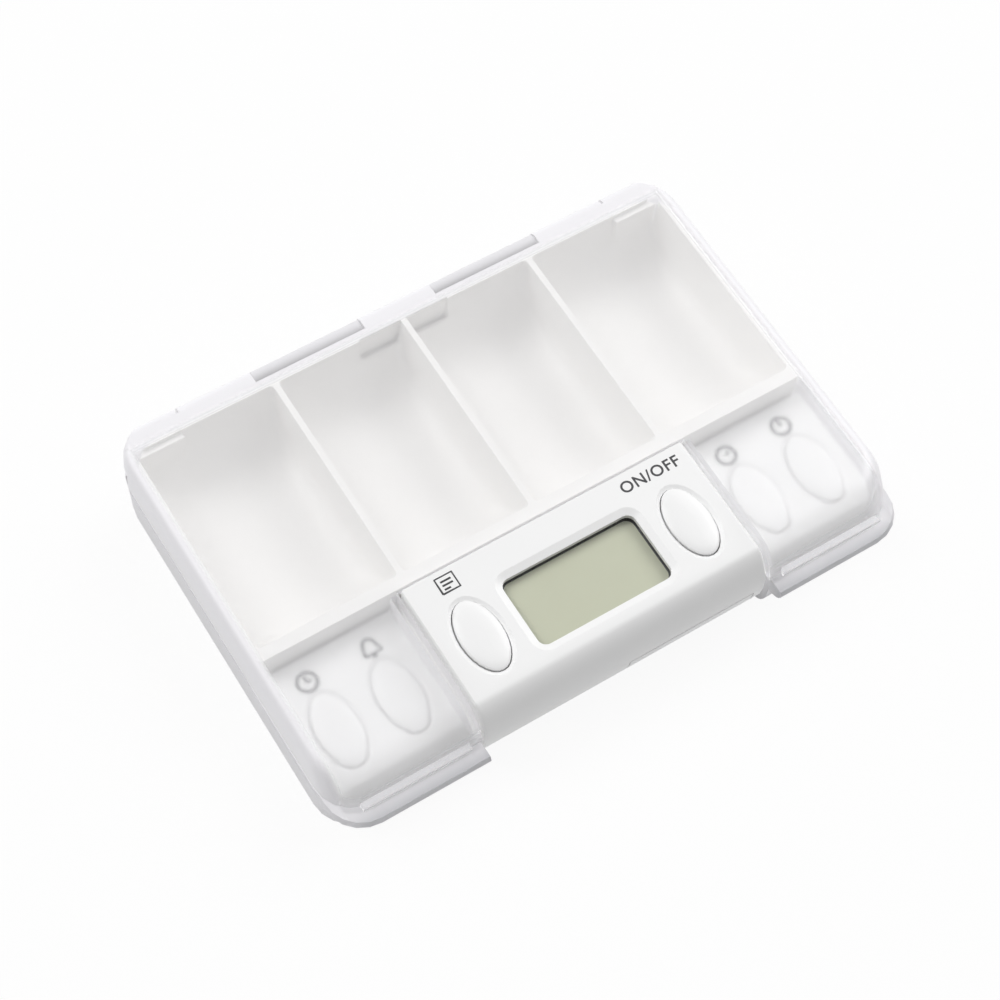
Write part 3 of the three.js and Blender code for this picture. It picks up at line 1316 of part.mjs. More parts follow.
// A leaf that hangs from the board and bows down to a cell
function makeContact([x, y]) {
  const top = BOARD_BOTTOM - FIT_GAP / 2;
  const low = CELL_BOTTOM + CELL_HEIGHT + FIT_GAP;
  const halfLength = CONTACT_LENGTH / 2;
  const upper = [];
  const lower = [];
  for (let step = 0; step <= NOSE_STEPS; step += 1) {
    const share = step / NOSE_STEPS;
    const along = y - halfLength + CONTACT_LENGTH * share;
    const bow = Math.sin(Math.PI * Math.min(share / CONTACT_BOW_SHARE, 1)) ** 2;
    const drop = bow * (top - CONTACT_THICKNESS - low);
    upper.push([along, top - drop]);
    lower.unshift([along, top - CONTACT_THICKNESS - drop]);
  }
  return sweepAlongX([...lower, ...upper], x - CONTACT_WIDTH / 2, x + CONTACT_WIDTH / 2);
}

function makeLinkPlate() {
  const [first, second] = cellPlaces();
  const bottom = DOOR_TOP + FIT_GAP;
  return loft([bottom, bottom + CONTACT_THICKNESS].map((height) => roundedRing(
    first[0] - CONTACT_WIDTH / 2,
    second[0] + CONTACT_WIDTH / 2,
    BUTTON_ROW_Y - CONTACT_WIDTH / 2,
    BUTTON_ROW_Y + CONTACT_WIDTH / 2,
    WINDOW_CORNER,
    height,
  )));
}

// Sounder
function sounderBottom() {
  return FLOOR_TOP + SOUNDER_SEAT_HEIGHT + FIT_GAP;
}

function makeSounderDisc() {
  return post(
    SOUNDER_X, BUTTON_ROW_Y, SOUNDER_RADIUS,
    sounderBottom(), sounderBottom() + SOUNDER_THICKNESS, OVAL_STEPS,
  );
}

function makeSounderCeramic() {
  const bottom = sounderBottom() + SOUNDER_THICKNESS + FIT_GAP / 2;
  return post(
    SOUNDER_X, BUTTON_ROW_Y, CERAMIC_RADIUS, bottom, bottom + CERAMIC_THICKNESS, OVAL_STEPS,
  );
}

// A short lead that rises from the sounder in an S-bend to the underside of the board
function makeSounderLead(side) {
  const start = sounderBottom() + SOUNDER_THICKNESS + CERAMIC_THICKNESS + FIT_GAP * 2 + LEAD_RADIUS;
  const end = BOARD_BOTTOM - FIT_GAP;
  const x = SOUNDER_X + side * LEAD_SPREAD;
  const route = new THREE.CatmullRomCurve3([
    new THREE.Vector3(x, BUTTON_ROW_Y - LEAD_SPREAD, start),
    new THREE.Vector3(x, BUTTON_ROW_Y, start),
    new THREE.Vector3(x, BUTTON_ROW_Y + LEAD_SPREAD, (start + end) / 2),
    new THREE.Vector3(x, BUTTON_ROW_Y + LEAD_SPREAD, end),
  ]);
  const section = new THREE.Shape();
  section.absarc(0, 0, LEAD_RADIUS, 0, Math.PI * 2);
  return toSolid(new THREE.ExtrudeGeometry(section, {
    steps: NOSE_STEPS, curveSegments: ROUND_STEPS, extrudePath: route, bevelEnabled: false,
  }));
}

// Screws
function shellScrewSeat() {
  return WING_BOTTOM + TIMER_WALL;
}

function shellScrewTop() {
  return shellScrewSeat() + SHELL_SCREW_LENGTH;
}

function boardScrewTop() {
  return BOARD_BOTTOM + BOARD_SCREW_LENGTH;
}

// A slotted pan-head screw that points up, with its head under a seat
function makeScrew(x, y, seat, tip) {
  const headTop = seat - FIT_GAP;
  const headBottom = headTop - SCREW_HEAD_HEIGHT;
  const head = loft([
    ovalRing(x, y, SCREW_CROWN_RADIUS, SCREW_CROWN_RADIUS, headBottom, HOLE_STEPS),
    ovalRing(
      x, y, SCREW_HEAD_RADIUS, SCREW_HEAD_RADIUS, headBottom + SCREW_HEAD_HEIGHT / 2, HOLE_STEPS,
    ),
    ovalRing(x, y, SCREW_HEAD_RADIUS, SCREW_HEAD_RADIUS, headTop, HOLE_STEPS),
  ]);
  const shank = loft([
    ovalRing(x, y, SCREW_RADIUS, SCREW_RADIUS, headTop - FIT_GAP, HOLE_STEPS),
    ovalRing(x, y, SCREW_RADIUS, SCREW_RADIUS, tip - SCREW_RADIUS, HOLE_STEPS),
    ovalRing(x, y, SCREW_TIP_RADIUS, SCREW_TIP_RADIUS, tip, HOLE_STEPS),
  ]);
  const slot = box(
    x - CUT, x + CUT, y - SCREW_SLOT_WIDTH / 2, y + SCREW_SLOT_WIDTH / 2,
    headBottom - CUT, headBottom + SCREW_SLOT_DEPTH,
  );
  return cut(head.add(shank), slot);
}

// Materials
function plastic(name, color, roughness, opacity = 1) {
  return new THREE.MeshStandardMaterial({
    name, color, roughness, metalness: 0, opacity, transparent: opacity < 1,
  });
}

function metal(name, color, roughness) {
  return new THREE.MeshStandardMaterial({ name, color, roughness, metalness: 1 });
}

const frostedPlastic = plastic('frosted_polypropylene', 0xe9e9ec, 0.45, 0.55);
const whitePlastic = plastic('white_abs', 0xf4f4f3, 0.35);
const buttonPlastic = plastic('white_button', 0xf1f1ef, 0.3);
const clearPlastic = plastic('clear_acrylic', 0xf6f8f8, 0.05, 0.2);
const displayGlass = plastic('display_glass', 0xc3c7af, 0.2);
const greyRubber = plastic('grey_silicone', 0xa9a9a6, 0.8);
const blackResin = plastic('black_resin', 0x1a1a1c, 0.4);
const brownCeramic = plastic('chip_ceramic', 0x8c6a4a, 0.5);
const boardLaminate = plastic('board_laminate', 0x2f6b3c, 0.5);
const ceramic = plastic('sounder_ceramic', 0xe6e2d6, 0.5);
const redSheath = plastic('red_sheath', 0xb02a22, 0.5);
const blackSheath = plastic('black_sheath', 0x1c1c1e, 0.5);
const steel = metal('steel', 0xb9bcc0, 0.3);
const springSteel = metal('plated_contact', 0xc9cacb, 0.25);
const brass = metal('brass', 0xc79a4b, 0.35);

const pillBox = new THREE.Group();

function place(name, geometry, material) {
  const mesh = new THREE.Mesh(geometry, material);
  mesh.name = name;
  pillBox.add(mesh);
}

function placeSolid(name, solid, material) {
  place(name, toGeometry(solid), material);
}

placeSolid('case_base', makeCaseBase(), frostedPlastic);
placeSolid('case_lid', makeLid(), frostedPlastic);
placeSolid('hinge_pin', makeHingePin(), steel);
placeSolid('pill_tray', makePillTray(), whitePlastic);
placeSolid('timer_top_shell', makeTopShell(), whitePlastic);
placeSolid('timer_bottom_shell', makeBottomShell(), whitePlastic);
placeSolid('battery_door', makeBatteryDoor(), whitePlastic);

const buttonPlaces = {
  time_button: [-OUTER_WING_BUTTON_X, WING_TOP, WING_UNDERSIDE],
  alarm_button: [-INNER_WING_BUTTON_X, WING_TOP, WING_UNDERSIDE],
  memo_button: [-CENTRE_BUTTON_X, CASE_HEIGHT, TIMER_UNDERSIDE],
  on_off_button: [CENTRE_BUTTON_X, CASE_HEIGHT, TIMER_UNDERSIDE],
  hour_button: [INNER_WING_BUTTON_X, WING_TOP, WING_UNDERSIDE],
  minute_button: [OUTER_WING_BUTTON_X, WING_TOP, WING_UNDERSIDE],
};
for (const [name, sizes] of Object.entries(buttonPlaces)) {
  placeSolid(name, makeButton(...sizes), buttonPlastic);
}

placeSolid('left_key_mat', makeKeyMat([-OUTER_WING_BUTTON_X, -INNER_WING_BUTTON_X]), greyRubber);
placeSolid('right_key_mat', makeKeyMat([INNER_WING_BUTTON_X, OUTER_WING_BUTTON_X]), greyRubber);
placeSolid('memo_key_mat', makeKeyMat([-CENTRE_BUTTON_X]), greyRubber);
placeSolid('on_off_key_mat', makeKeyMat([CENTRE_BUTTON_X]), greyRubber);

placeSolid('display_lens', makeDisplayLens(), clearPlastic);
placeSolid('display_cell', makeDisplayCell(), displayGlass);
placeSolid('display_holder', makeDisplayHolder(), whitePlastic);
placeSolid('zebra_strip', makeZebraStrip(), greyRubber);
placeSolid('circuit_board', makeBoard(), boardLaminate);
placeSolid('chip_blob', makeChipBlob(), blackResin);
placeSolid('clock_crystal', makeCrystal(), steel);
placeSolid('left_chip_capacitor', makeChipPart(1), brownCeramic);
placeSolid('right_chip_capacitor', makeChipPart(2), brownCeramic);
placeSolid('chip_resistor', makeChipPart(CHIP_COUNT), blackResin);

const [leftCell, rightCell] = cellPlaces();
placeSolid('left_cell', makeCell(leftCell, true), steel);
placeSolid('right_cell', makeCell(rightCell, false), steel);
placeSolid('negative_contact', makeContact(leftCell), springSteel);
placeSolid('positive_contact', makeContact(rightCell), springSteel);
placeSolid('cell_link_plate', makeLinkPlate(), springSteel);

placeSolid('sounder_disc', makeSounderDisc(), brass);
placeSolid('sounder_ceramic', makeSounderCeramic(), ceramic);
placeSolid('black_sounder_lead', makeSounderLead(-1), blackSheath);
placeSolid('red_sounder_lead', makeSounderLead(1), redSheath);

const shellScrewNames = [
  'left_outer_shell_screw', 'left_inner_shell_screw',
  'right_outer_shell_screw', 'right_inner_shell_screw',
];
shellScrewPlaces().forEach(([x, y], number) => {
  placeSolid(shellScrewNames[number], makeScrew(x, y, shellScrewSeat(), shellScrewTop()), steel);
});

const boardScrewNames = [
  'left_inner_board_screw', 'left_outer_board_screw',
  'right_inner_board_screw', 'right_outer_board_screw',
];
boardScrewPlaces().forEach(([x, y], number) => {
  placeSolid(boardScrewNames[number], makeScrew(x, y, BOARD_BOTTOM, boardScrewTop()), steel);
});

export default pillBox;
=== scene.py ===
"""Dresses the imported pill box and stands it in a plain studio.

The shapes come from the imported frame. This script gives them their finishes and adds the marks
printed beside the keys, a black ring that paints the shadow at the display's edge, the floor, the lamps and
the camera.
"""

import logging
import math
from abc import ABC, abstractmethod
from dataclasses import dataclass, field
from enum import Enum

import bmesh
import bpy
from mathutils import Matrix, Vector


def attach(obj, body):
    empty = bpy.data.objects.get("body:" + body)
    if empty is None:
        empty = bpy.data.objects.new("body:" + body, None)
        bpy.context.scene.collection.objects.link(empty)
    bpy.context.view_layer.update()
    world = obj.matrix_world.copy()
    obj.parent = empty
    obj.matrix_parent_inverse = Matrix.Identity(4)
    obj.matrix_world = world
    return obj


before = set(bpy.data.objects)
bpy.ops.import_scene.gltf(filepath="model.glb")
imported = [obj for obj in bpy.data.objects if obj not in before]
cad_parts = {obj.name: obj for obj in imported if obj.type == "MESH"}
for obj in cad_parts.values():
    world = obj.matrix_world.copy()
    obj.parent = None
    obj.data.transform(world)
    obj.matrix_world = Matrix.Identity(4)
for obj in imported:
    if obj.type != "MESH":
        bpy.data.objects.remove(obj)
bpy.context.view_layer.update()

Point = tuple[float, float]
Place = tuple[float, float, float]
Stroke = tuple[Point, ...]

LOG = logging.getLogger("pill_box")
CASE_BODY = "case"
MM = 0.001  # a millimetre in the scene's metres

# The sRGB curve: a straight foot up to the limit, then a power.
SRGB_LIMIT = 0.04045
SRGB_SLOPE = 12.92
SRGB_OFFSET = 0.055
SRGB_POWER = 2.4
BYTE = 255

# Nearly all of a noise's values lie between these two.
NOISE_LOW = 0.3
NOISE_HIGH = 0.7

# A colour Mix node's sockets, by number: its sockets for plain numbers have the same names.
MIX_FIRST_COLOUR = 6
MIX_SECOND_COLOUR = 7
MIX_COLOUR = 2

# At this blend, Facing is one minus the cosine of the angle between the eye's ray and the normal.
EVEN_BLEND = 0.5

WHITE = "ffffff"
WHITE_STRENGTH = 1.0  # an emission of this strength is white in the picture
BEFORE_FIRST_BOUNCE = 0.5  # fewer diffuse bounces than this is none at all


class Rays(Enum):
    """The kinds of ray that see the plain white surroundings."""

    CAMERA = "Is Camera Ray"
    GLOSSY = "Is Glossy Ray"
    TRANSMISSION = "Is Transmission Ray"


def linear(hex_colour: str) -> tuple[float, float, float, float]:
    """Turns an sRGB hex colour into linear values.

    Args:
        hex_colour: Six hex digits, such as "f4f4f2".

    Returns:
        Linear red, green and blue, with an alpha of 1.
    """
    values = []
    for byte in bytes.fromhex(hex_colour):
        value = byte / BYTE
        if value <= SRGB_LIMIT:
            values.append(value / SRGB_SLOPE)
        else:
            values.append(((value + SRGB_OFFSET) / (1 + SRGB_OFFSET)) ** SRGB_POWER)
    return (*values, 1.0)


def add_node(tree: bpy.types.NodeTree, kind: str, settings: dict, links: dict) -> bpy.types.Node:
    """Adds one node with its settings and its incoming links.

    Args:
        tree: The node tree to add to.
        kind: The node's type name.
        settings: Input sockets, by name or number, or node properties, by name, and their values.
        links: Input sockets, by name or number, and the output sockets that feed them.

    Returns:
        The new node.
    """
    node = tree.nodes.new(kind)
    for name, value in settings.items():
        if isinstance(name, int) or name in node.inputs:
            node.inputs[name].default_value = value
        else:
            setattr(node, name, value)
    for name, source in links.items():
        tree.links.new(source, node.inputs[name])
    return node


def add_object(name: str, data: bpy.types.ID) -> bpy.types.Object:
    """Adds an object to the scene.

    Args:
        name: The object's name.
        data: Its mesh, curve, lamp or camera.

    Returns:
        The new object.
    """
    made = bpy.data.objects.new(name, data)
    bpy.context.scene.collection.objects.link(made)
    return made


def grain(tree: bpy.types.NodeTree, size_mm: float, detail: float) -> bpy.types.NodeSocket:
    """Adds a noise in the object's own millimetres.

    Args:
        tree: The node tree to add to.
        size_mm: The size of one grain.
        detail: How much finer detail the noise has.

    Returns:
        The noise's output socket.
    """
    place = add_node(tree, "ShaderNodeTexCoord", {}, {})
    settings = {"Scale": 1 / (size_mm * MM), "Detail": detail, "noise_dimensions": "3D"}
    noise = add_node(tree, "ShaderNodeTexNoise", settings, {"Vector": place.outputs["Object"]})
    return noise.outputs["Fac"]


def spread(
    tree: bpy.types.NodeTree, noise: bpy.types.NodeSocket, low: float, high: float,
) -> bpy.types.NodeSocket:
    """Maps a noise to a range.

    Args:
        tree: The node tree to add to.
        noise: The noise's output socket.
        low: The value at the noise's dark end.
        high: The value at its bright end.

    Returns:
        The mapped output socket.
    """
    settings = {"From Min": NOISE_LOW, "From Max": NOISE_HIGH, "To Min": low, "To Max": high}
    return add_node(tree, "ShaderNodeMapRange", settings, {"Value": noise}).outputs["Result"]


def two_tones(
    tree: bpy.types.NodeTree, share: bpy.types.NodeSocket, first: str, second: str,
) -> bpy.types.NodeSocket:
    """Mixes two close colours by a share that varies over the surface.

    Args:
        tree: The node tree to add to.
        share: The share of the second colour.
        first: The hex colour at a share of 0.
        second: The hex colour at a share of 1.

    Returns:
        The colour output socket.
    """
    settings = {"data_type": "RGBA", MIX_FIRST_COLOUR: linear(first), MIX_SECOND_COLOUR: linear(second)}
    return add_node(tree, "ShaderNodeMix", settings, {"Factor": share}).outputs[MIX_COLOUR]


def largest(tree: bpy.types.NodeTree, *values: bpy.types.NodeSocket) -> bpy.types.NodeSocket:
    """Finds the largest of several values.

    Args:
        tree: The node tree to add to.
        values: Their output sockets, two or more.

    Returns:
        The output socket of the largest.
    """
    most = values[0]
    for value in values[1:]:
        most = add_node(tree, "ShaderNodeMath", {"operation": "MAXIMUM"}, {0: most, 1: value}).outputs[0]
    return most


def share_by_place(
    tree: bpy.types.NodeTree, axis: str, places_mm: Point, both_sides: bool = False,
) -> bpy.types.NodeSocket:
    """Adds a share that grows along one of the object's own axes.

    Args:
        tree: The node tree to add to.
        axis: The axis, X or Y.
        places_mm: The places on it at which the share is 0 and 1.
        both_sides: Whether it grows the same way on both sides of the middle.

    Returns:
        The output socket of the share.
    """
    place = add_node(tree, "ShaderNodeTexCoord", {}, {})
    split = add_node(tree, "ShaderNodeSeparateXYZ", {}, {"Vector": place.outputs["Object"]})
    along = split.outputs[axis]
    if both_sides:
        along = add_node(tree, "ShaderNodeMath", {"operation": "ABSOLUTE"}, {0: along}).outputs[0]
    start, end = places_mm
    settings = {"interpolation_type": "SMOOTHSTEP", "From Min": start * MM, "From Max": end * MM}
    return add_node(tree, "ShaderNodeMapRange", settings, {"Value": along}).outputs["Result"]


def let_light_in(
    tree: bpy.types.NodeTree, seen: bpy.types.NodeSocket, shade: str, scatter: float = 0.0,
) -> bpy.types.NodeSocket:
    """Lets lamp light and soft light pass a see-through plastic, partly scattered on its way.

    Args:
        tree: The node tree to add to.
        seen: What the eye sees of the plastic.
        shade: The hex colour that the light keeps on its way.
        scatter: The share of the light that leaves in all directions.

    Returns:
        The output socket of the mixed shader.
    """
    straight = add_node(tree, "ShaderNodeBsdfTransparent", {"Color": linear(shade)}, {})
    soft = add_node(tree, "ShaderNodeBsdfTranslucent", {"Color": linear(shade)}, {})
    passed = add_node(tree, "ShaderNodeMixShader", {"Fac": scatter}, {
        1: straight.outputs["BSDF"], 2: soft.outputs["BSDF"],
    })
    path = add_node(tree, "ShaderNodeLightPath", {}, {})
    light = largest(tree, path.outputs["Is Shadow Ray"], path.outputs["Is Diffuse Ray"])
    mix = add_node(tree, "ShaderNodeMixShader", {}, {0: light, 1: seen, 2: passed.outputs["Shader"]})
    return mix.outputs["Shader"]


def white_rays(tree: bpy.types.NodeTree) -> bpy.types.NodeSocket:
    """Adds the test for rays that see the surroundings as plain white.

    Args:
        tree: The node tree to add to.

    Returns:
        A socket that is 1 for such rays and 0 for the rest.
    """
    path = add_node(tree, "ShaderNodeLightPath", {}, {})
    seen = largest(tree, *(path.outputs[rays.value] for rays in Rays))
    direct = add_node(tree, "ShaderNodeMath", {"operation": "LESS_THAN", 1: BEFORE_FIRST_BOUNCE}, {
        0: path.outputs["Diffuse Depth"],
    })
    both = add_node(tree, "ShaderNodeMath", {"operation": "MULTIPLY"}, {0: seen, 1: direct.outputs[0]})
    return both.outputs[0]


@dataclass(frozen=True)
class Finish(ABC):
    """What a piece is made of and how its surface was made."""

    name: str

    @abstractmethod
    def surface(self, tree: bpy.types.NodeTree) -> bpy.types.NodeSocket:
        """Adds the finish's nodes.

        Args:
            tree: The material's node tree.

        Returns:
            The output socket of the shader.
        """

    def material(self) -> bpy.types.Material:
        """Gives the material, which is made at its first use and then shared.

        Returns:
            The material.
        """
        if self.name in bpy.data.materials:
            return bpy.data.materials[self.name]
        material = bpy.data.materials.new(self.name)
        material.use_nodes = True
        tree = material.node_tree
        tree.nodes.clear()
        add_node(tree, "ShaderNodeOutputMaterial", {}, {"Surface": self.surface(tree)})
        return material


@dataclass(frozen=True)
class MouldedPlastic(Finish):
    """An injection-moulded plastic with the fine spark-eroded skin of its mould.

    The real grain is about 0.05 mm, finer than a pixel of the picture (0.17 mm), so it is drawn at
    0.25 mm, the finest that still shows.
    """

    colour: str
    second_colour: str
    roughness: float
    roughness_spread: float = 0.05
    ior: float = 1.54
    grain_mm: float = 0.25
    grain_detail: float = 4.0
    grain_depth_mm: float = 0.004
    grain_strength: float = 0.35
    patch_mm: float = 9.0
    patch_detail: float = 2.0

    def surface(self, tree: bpy.types.NodeTree) -> bpy.types.NodeSocket:
        """Adds two close tones, an uneven gloss and a fine eroded grain.

        Args:
            tree: The material's node tree.

        Returns:
            The output socket of the shader.
        """
        patches = grain(tree, self.patch_mm, self.patch_detail)
        fine = grain(tree, self.grain_mm, self.grain_detail)
        settings = {"Strength": self.grain_strength, "Distance": self.grain_depth_mm * MM}
        bump = add_node(tree, "ShaderNodeBump", settings, {"Height": fine})
        low, high = self.roughness - self.roughness_spread, self.roughness + self.roughness_spread
        return add_node(tree, "ShaderNodeBsdfPrincipled", {"IOR": self.ior}, {
            "Base Color": two_tones(tree, patches, self.colour, self.second_colour),
            "Roughness": spread(tree, fine, low, high),
            "Normal": bump.outputs["Normal"],
        }).outputs["BSDF"]


@dataclass(frozen=True)
class FrostedPlastic(Finish):
    """A natural, see-through plastic whose mould was blasted matt, so it blurs what lies behind it.

    Seen square on, the wall is thin and lets most light by. Seen along the wall, as at the rounded
    edges, the way through it is long, so it turns milky there, and so it does in the thick side rims
    and the hinge barrels. Toward the front edge of the lid and of the thumb ledges the milk's colour is
    painted darker: painted shade where the rounded front turns away from the lamps.

    The real grain of the blasted mould is finer than a pixel, so it is drawn at 0.35 mm.
    """

    colour: str
    second_colour: str
    milk_colour: str
    # the colour the milk is painted at the front edge: painted shade
    front_shade_milk_colour: str
    milk: float  # the share of milk seen square on
    edge_milk: float  # the share of milk seen along the wall
    haze: float = 0.235
    haze_spread: float = 0.02
    scatter: float = 0.08
    square_on: float = 0.2  # the milk starts to grow at this Facing
    along: float = 0.75  # and is full at this one
    milk_roughness: float = 0.45
    shade: str = WHITE
    ior: float = 1.49
    grain_mm: float = 0.35
    grain_detail: float = 3.0
    patch_mm: float = 12.0
    patch_detail: float = 2.0
    # where the painted front shade starts and where it is full
    front_shade_mm: Point = (-36.9, -39.8)
    back_rim_mm: Point = (35.2, 37.0)
    side_rim_mm: Point = (52.4, 54.4)

    def milk_share(self, tree: bpy.types.NodeTree) -> bpy.types.NodeSocket:
        """Adds the share of milk, which grows with the way through the wall.

        Args:
            tree: The material's node tree.

        Returns:
            The output socket of the share.
        """
        angle = add_node(tree, "ShaderNodeLayerWeight", {"Blend": EVEN_BLEND}, {})
        by_angle = add_node(tree, "ShaderNodeMapRange", {
            "interpolation_type": "SMOOTHSTEP", "From Min": self.square_on, "From Max": self.along,
            "To Min": self.milk, "To Max": self.edge_milk,
        }, {"Value": angle.outputs["Facing"]})
        back_rim = share_by_place(tree, "Y", self.back_rim_mm)
        side_rims = share_by_place(tree, "X", self.side_rim_mm, both_sides=True)
        return largest(tree, by_angle.outputs["Result"], back_rim, side_rims)

    def surface(self, tree: bpy.types.NodeTree) -> bpy.types.NodeSocket:
        """Adds rough clear plastic with a share of milk, which lets the lamps' light in.

        Args:
            tree: The material's node tree.

        Returns:
            The output socket of the shader.
        """
        patches = grain(tree, self.patch_mm, self.patch_detail)
        fine = grain(tree, self.grain_mm, self.grain_detail)
        clear = add_node(tree, "ShaderNodeBsdfPrincipled", {"IOR": self.ior, "Transmission Weight": 1.0}, {
            "Base Color": two_tones(tree, patches, self.colour, self.second_colour),
            "Roughness": spread(tree, fine, self.haze - self.haze_spread, self.haze + self.haze_spread),
        })
        # Painted shade: the milk's colour darkens toward the front edge, standing in for the rounded front
        # turning from the lamps.
        front = share_by_place(tree, "Y", self.front_shade_mm)
        settings = {"IOR": self.ior, "Roughness": self.milk_roughness}
        milk = add_node(tree, "ShaderNodeBsdfPrincipled", settings, {
            "Base Color": two_tones(tree, front, self.milk_colour, self.front_shade_milk_colour),
        })
        wall = add_node(tree, "ShaderNodeMixShader", {}, {
            0: self.milk_share(tree), 1: clear.outputs["BSDF"], 2: milk.outputs["BSDF"],
        })
        return let_light_in(tree, wall.outputs["Shader"], self.shade, self.scatter)


@dataclass(frozen=True)
class ClearWindow(Finish):
    """A polished acrylic window with faint smears, which lets the lamps' light in."""

    colour: str
    smooth_roughness: float = 0.015
    smeared_roughness: float = 0.06
    smear_mm: float = 4.0
    smear_detail: float = 2.0
    ior: float = 1.49
    shade: str = "f2f2f2"

    def surface(self, tree: bpy.types.NodeTree) -> bpy.types.NodeSocket:
        """Adds clear glass with an uneven gloss.

        Args:
            tree: The material's node tree.

        Returns:
            The output socket of the shader.
        """
        smears = grain(tree, self.smear_mm, self.smear_detail)
        clear = add_node(tree, "ShaderNodeBsdfGlass", {"IOR": self.ior, "Color": linear(self.colour)}, {
            "Roughness": spread(tree, smears, self.smooth_roughness, self.smeared_roughness),
        })
        return let_light_in(tree, clear.outputs["BSDF"], self.shade)


@dataclass(frozen=True)
class BareMetal(Finish):
    """A drawn, stamped or plated metal.

    Its rolling marks are finer than a pixel, so they are drawn at 0.4 mm.
    """

    colour: str
    roughness: float
    uneven_share: float = 0.2
    mark_mm: float = 0.4
    mark_detail: float = 3.0

    def surface(self, tree: bpy.types.NodeTree) -> bpy.types.NodeSocket:
        """Adds full metal with an uneven gloss.

        Args:
            tree: The material's node tree.

        Returns:
            The output socket of the shader.
        """
        marks = grain(tree, self.mark_mm, self.mark_detail)
        low, high = (self.roughness * (1 + side * self.uneven_share) for side in (-1, 1))
        settings = {"Metallic": 1.0, "Base Color": linear(self.colour)}
        return add_node(tree, "ShaderNodeBsdfPrincipled", settings, {
            "Roughness": spread(tree, marks, low, high),
        }).outputs["BSDF"]


@dataclass(frozen=True)
class PaleFloor(Finish):
    """A matt floor that looks plain white and keeps a share of the object's shadow."""

    colour: str
    shadow_share: float

    def surface(self, tree: bpy.types.NodeTree) -> bpy.types.NodeSocket:
        """Adds the matt floor and, for the rays that see it, its white look.

        Args:
            tree: The material's node tree.

        Returns:
            The output socket of the shader.
        """
        matt = add_node(tree, "ShaderNodeBsdfDiffuse", {"Color": linear(self.colour)}, {})
        white = add_node(tree, "ShaderNodeEmission", {"Strength": WHITE_STRENGTH}, {})
        shaded = add_node(tree, "ShaderNodeMixShader", {"Fac": self.shadow_share}, {
            1: white.outputs["Emission"], 2: matt.outputs["BSDF"],
        })
        return add_node(tree, "ShaderNodeMixShader", {}, {
            0: white_rays(tree), 1: matt.outputs["BSDF"], 2: shaded.outputs["Shader"],
        }).outputs["Shader"]


# The timer's shells: an even white with a soft sheen along the rolled nose and no mirror image.
WHITE_ABS = MouldedPlastic("white ABS, moulded satin", "f4f4f4", "f6f6f6", roughness=0.42)

# The keys: the same white, a little glossier, so each dome catches the light on one side.
KEY_ABS = MouldedPlastic("white ABS key, moulded fine satin", "f4f4f4", "f6f6f6", roughness=0.38)

# The tray: a dry white with a trace of warmth, which shows the soft shadows of its scoops.
WHITE_STYRENE = MouldedPlastic("white polystyrene, moulded matt", "f5f4f2", "f7f6f4", roughness=0.5)

# The lid: clear enough to show the tray through a slight blur, milky with a hint of lilac at its rims.
# Its milk is painted a little darker toward the front edge: painted shade on the rounded front.
LID_PP = FrostedPlastic(
    "natural polypropylene, moulded frosted", "fcfcfc", "fefefe",
    milk_colour="f3f2f5", front_shade_milk_colour="ecebee", milk=0.18, edge_milk=0.78,
)

# The base: the same plastic in a thicker wall, so it is mostly milk and a pale grey.
# Its milk is painted much greyer toward the front edge of the thumb ledges: painted shade for their rounded
# front.
BASE_PP = FrostedPlastic(
    "natural polypropylene, moulded frosted in a thick wall", "f8f8f9", "fafafb",
    milk_colour="e4e3e6", front_shade_milk_colour="bfbfc3", milk=0.65, edge_milk=1.0,
)

# The display's window: all but invisible, with a faint gloss where it mirrors the surroundings.
ACRYLIC = ClearWindow("clear acrylic, polished", "fafbfb")

# The blank display: a flat grey-green. Its grain is finer than a pixel, so it shows only close up.
DISPLAY_FILM = MouldedPlastic(
    "display polariser film, matt", "d8d9bd", "dedfc5", roughness=0.35, grain_mm=0.12, patch_mm=14.0,
)

# The key mats and the display's connector: a dull, soft grey.
GREY_SILICONE = MouldedPlastic("grey silicone rubber, moulded", "a9a9a6", "b0b0ad", roughness=0.7, ior=1.41)

# The blob over the chip: black with a wet-looking highlight.
BOND_RESIN = MouldedPlastic("black epoxy, dispensed", "161618", "1f1f22", roughness=0.3)

# The chip capacitors: a dry tan.
CHIP_CERAMIC = MouldedPlastic("chip capacitor ceramic, fired", "8c6a4a", "977453", roughness=0.5)

# The board: a lacquered green that goes lighter and darker with the weave of its glass cloth.
LAMINATE = MouldedPlastic(
    "green glass-epoxy laminate, lacquered", "2b6538", "34733f", roughness=0.35, patch_mm=1.2,
)

# The sounder's plate: a smooth, warm off-white.
PIEZO_CERAMIC = MouldedPlastic("piezo ceramic, silvered", "ddd9cc", "e6e2d6", roughness=0.4)

# The sounder's leads: the soft gloss of thin wire sheath, one red and one black.
RED_PVC = MouldedPlastic("red PVC wire sheath", "a82820", "b43229", roughness=0.4)
BLACK_PVC = MouldedPlastic("black PVC wire sheath", "1b1b1d", "242427", roughness=0.4)

# The pin, screws, cells and crystal: a cool, softly blurred mirror.
STEEL = BareMetal("nickel-plated steel", "c4c6c9", roughness=0.28)

# The contacts: a slightly brighter and warmer mirror than the steel.
PHOSPHOR_BRONZE = BareMetal("nickel-plated phosphor bronze", "cccdce", roughness=0.25)

# The sounder's disc: a muted yellow metal.
BRASS = BareMetal("brass sheet, stamped", "c79a4b", roughness=0.35)

# The printed marks, and the black ring that paints the shadow at the display's edge: a dead matt, nearly
# black grey.
PAD_INK_AND_SHADOW_BLACK = MouldedPlastic("dark grey pad-printing ink and painted shadow", "2a2a2d", "343437", roughness=0.6)

# The floor: white to the eye, with the faintest shadow round the case.
STUDIO_BOARD = PaleFloor("pale studio floor", "f6f6f6", shadow_share=0.08)


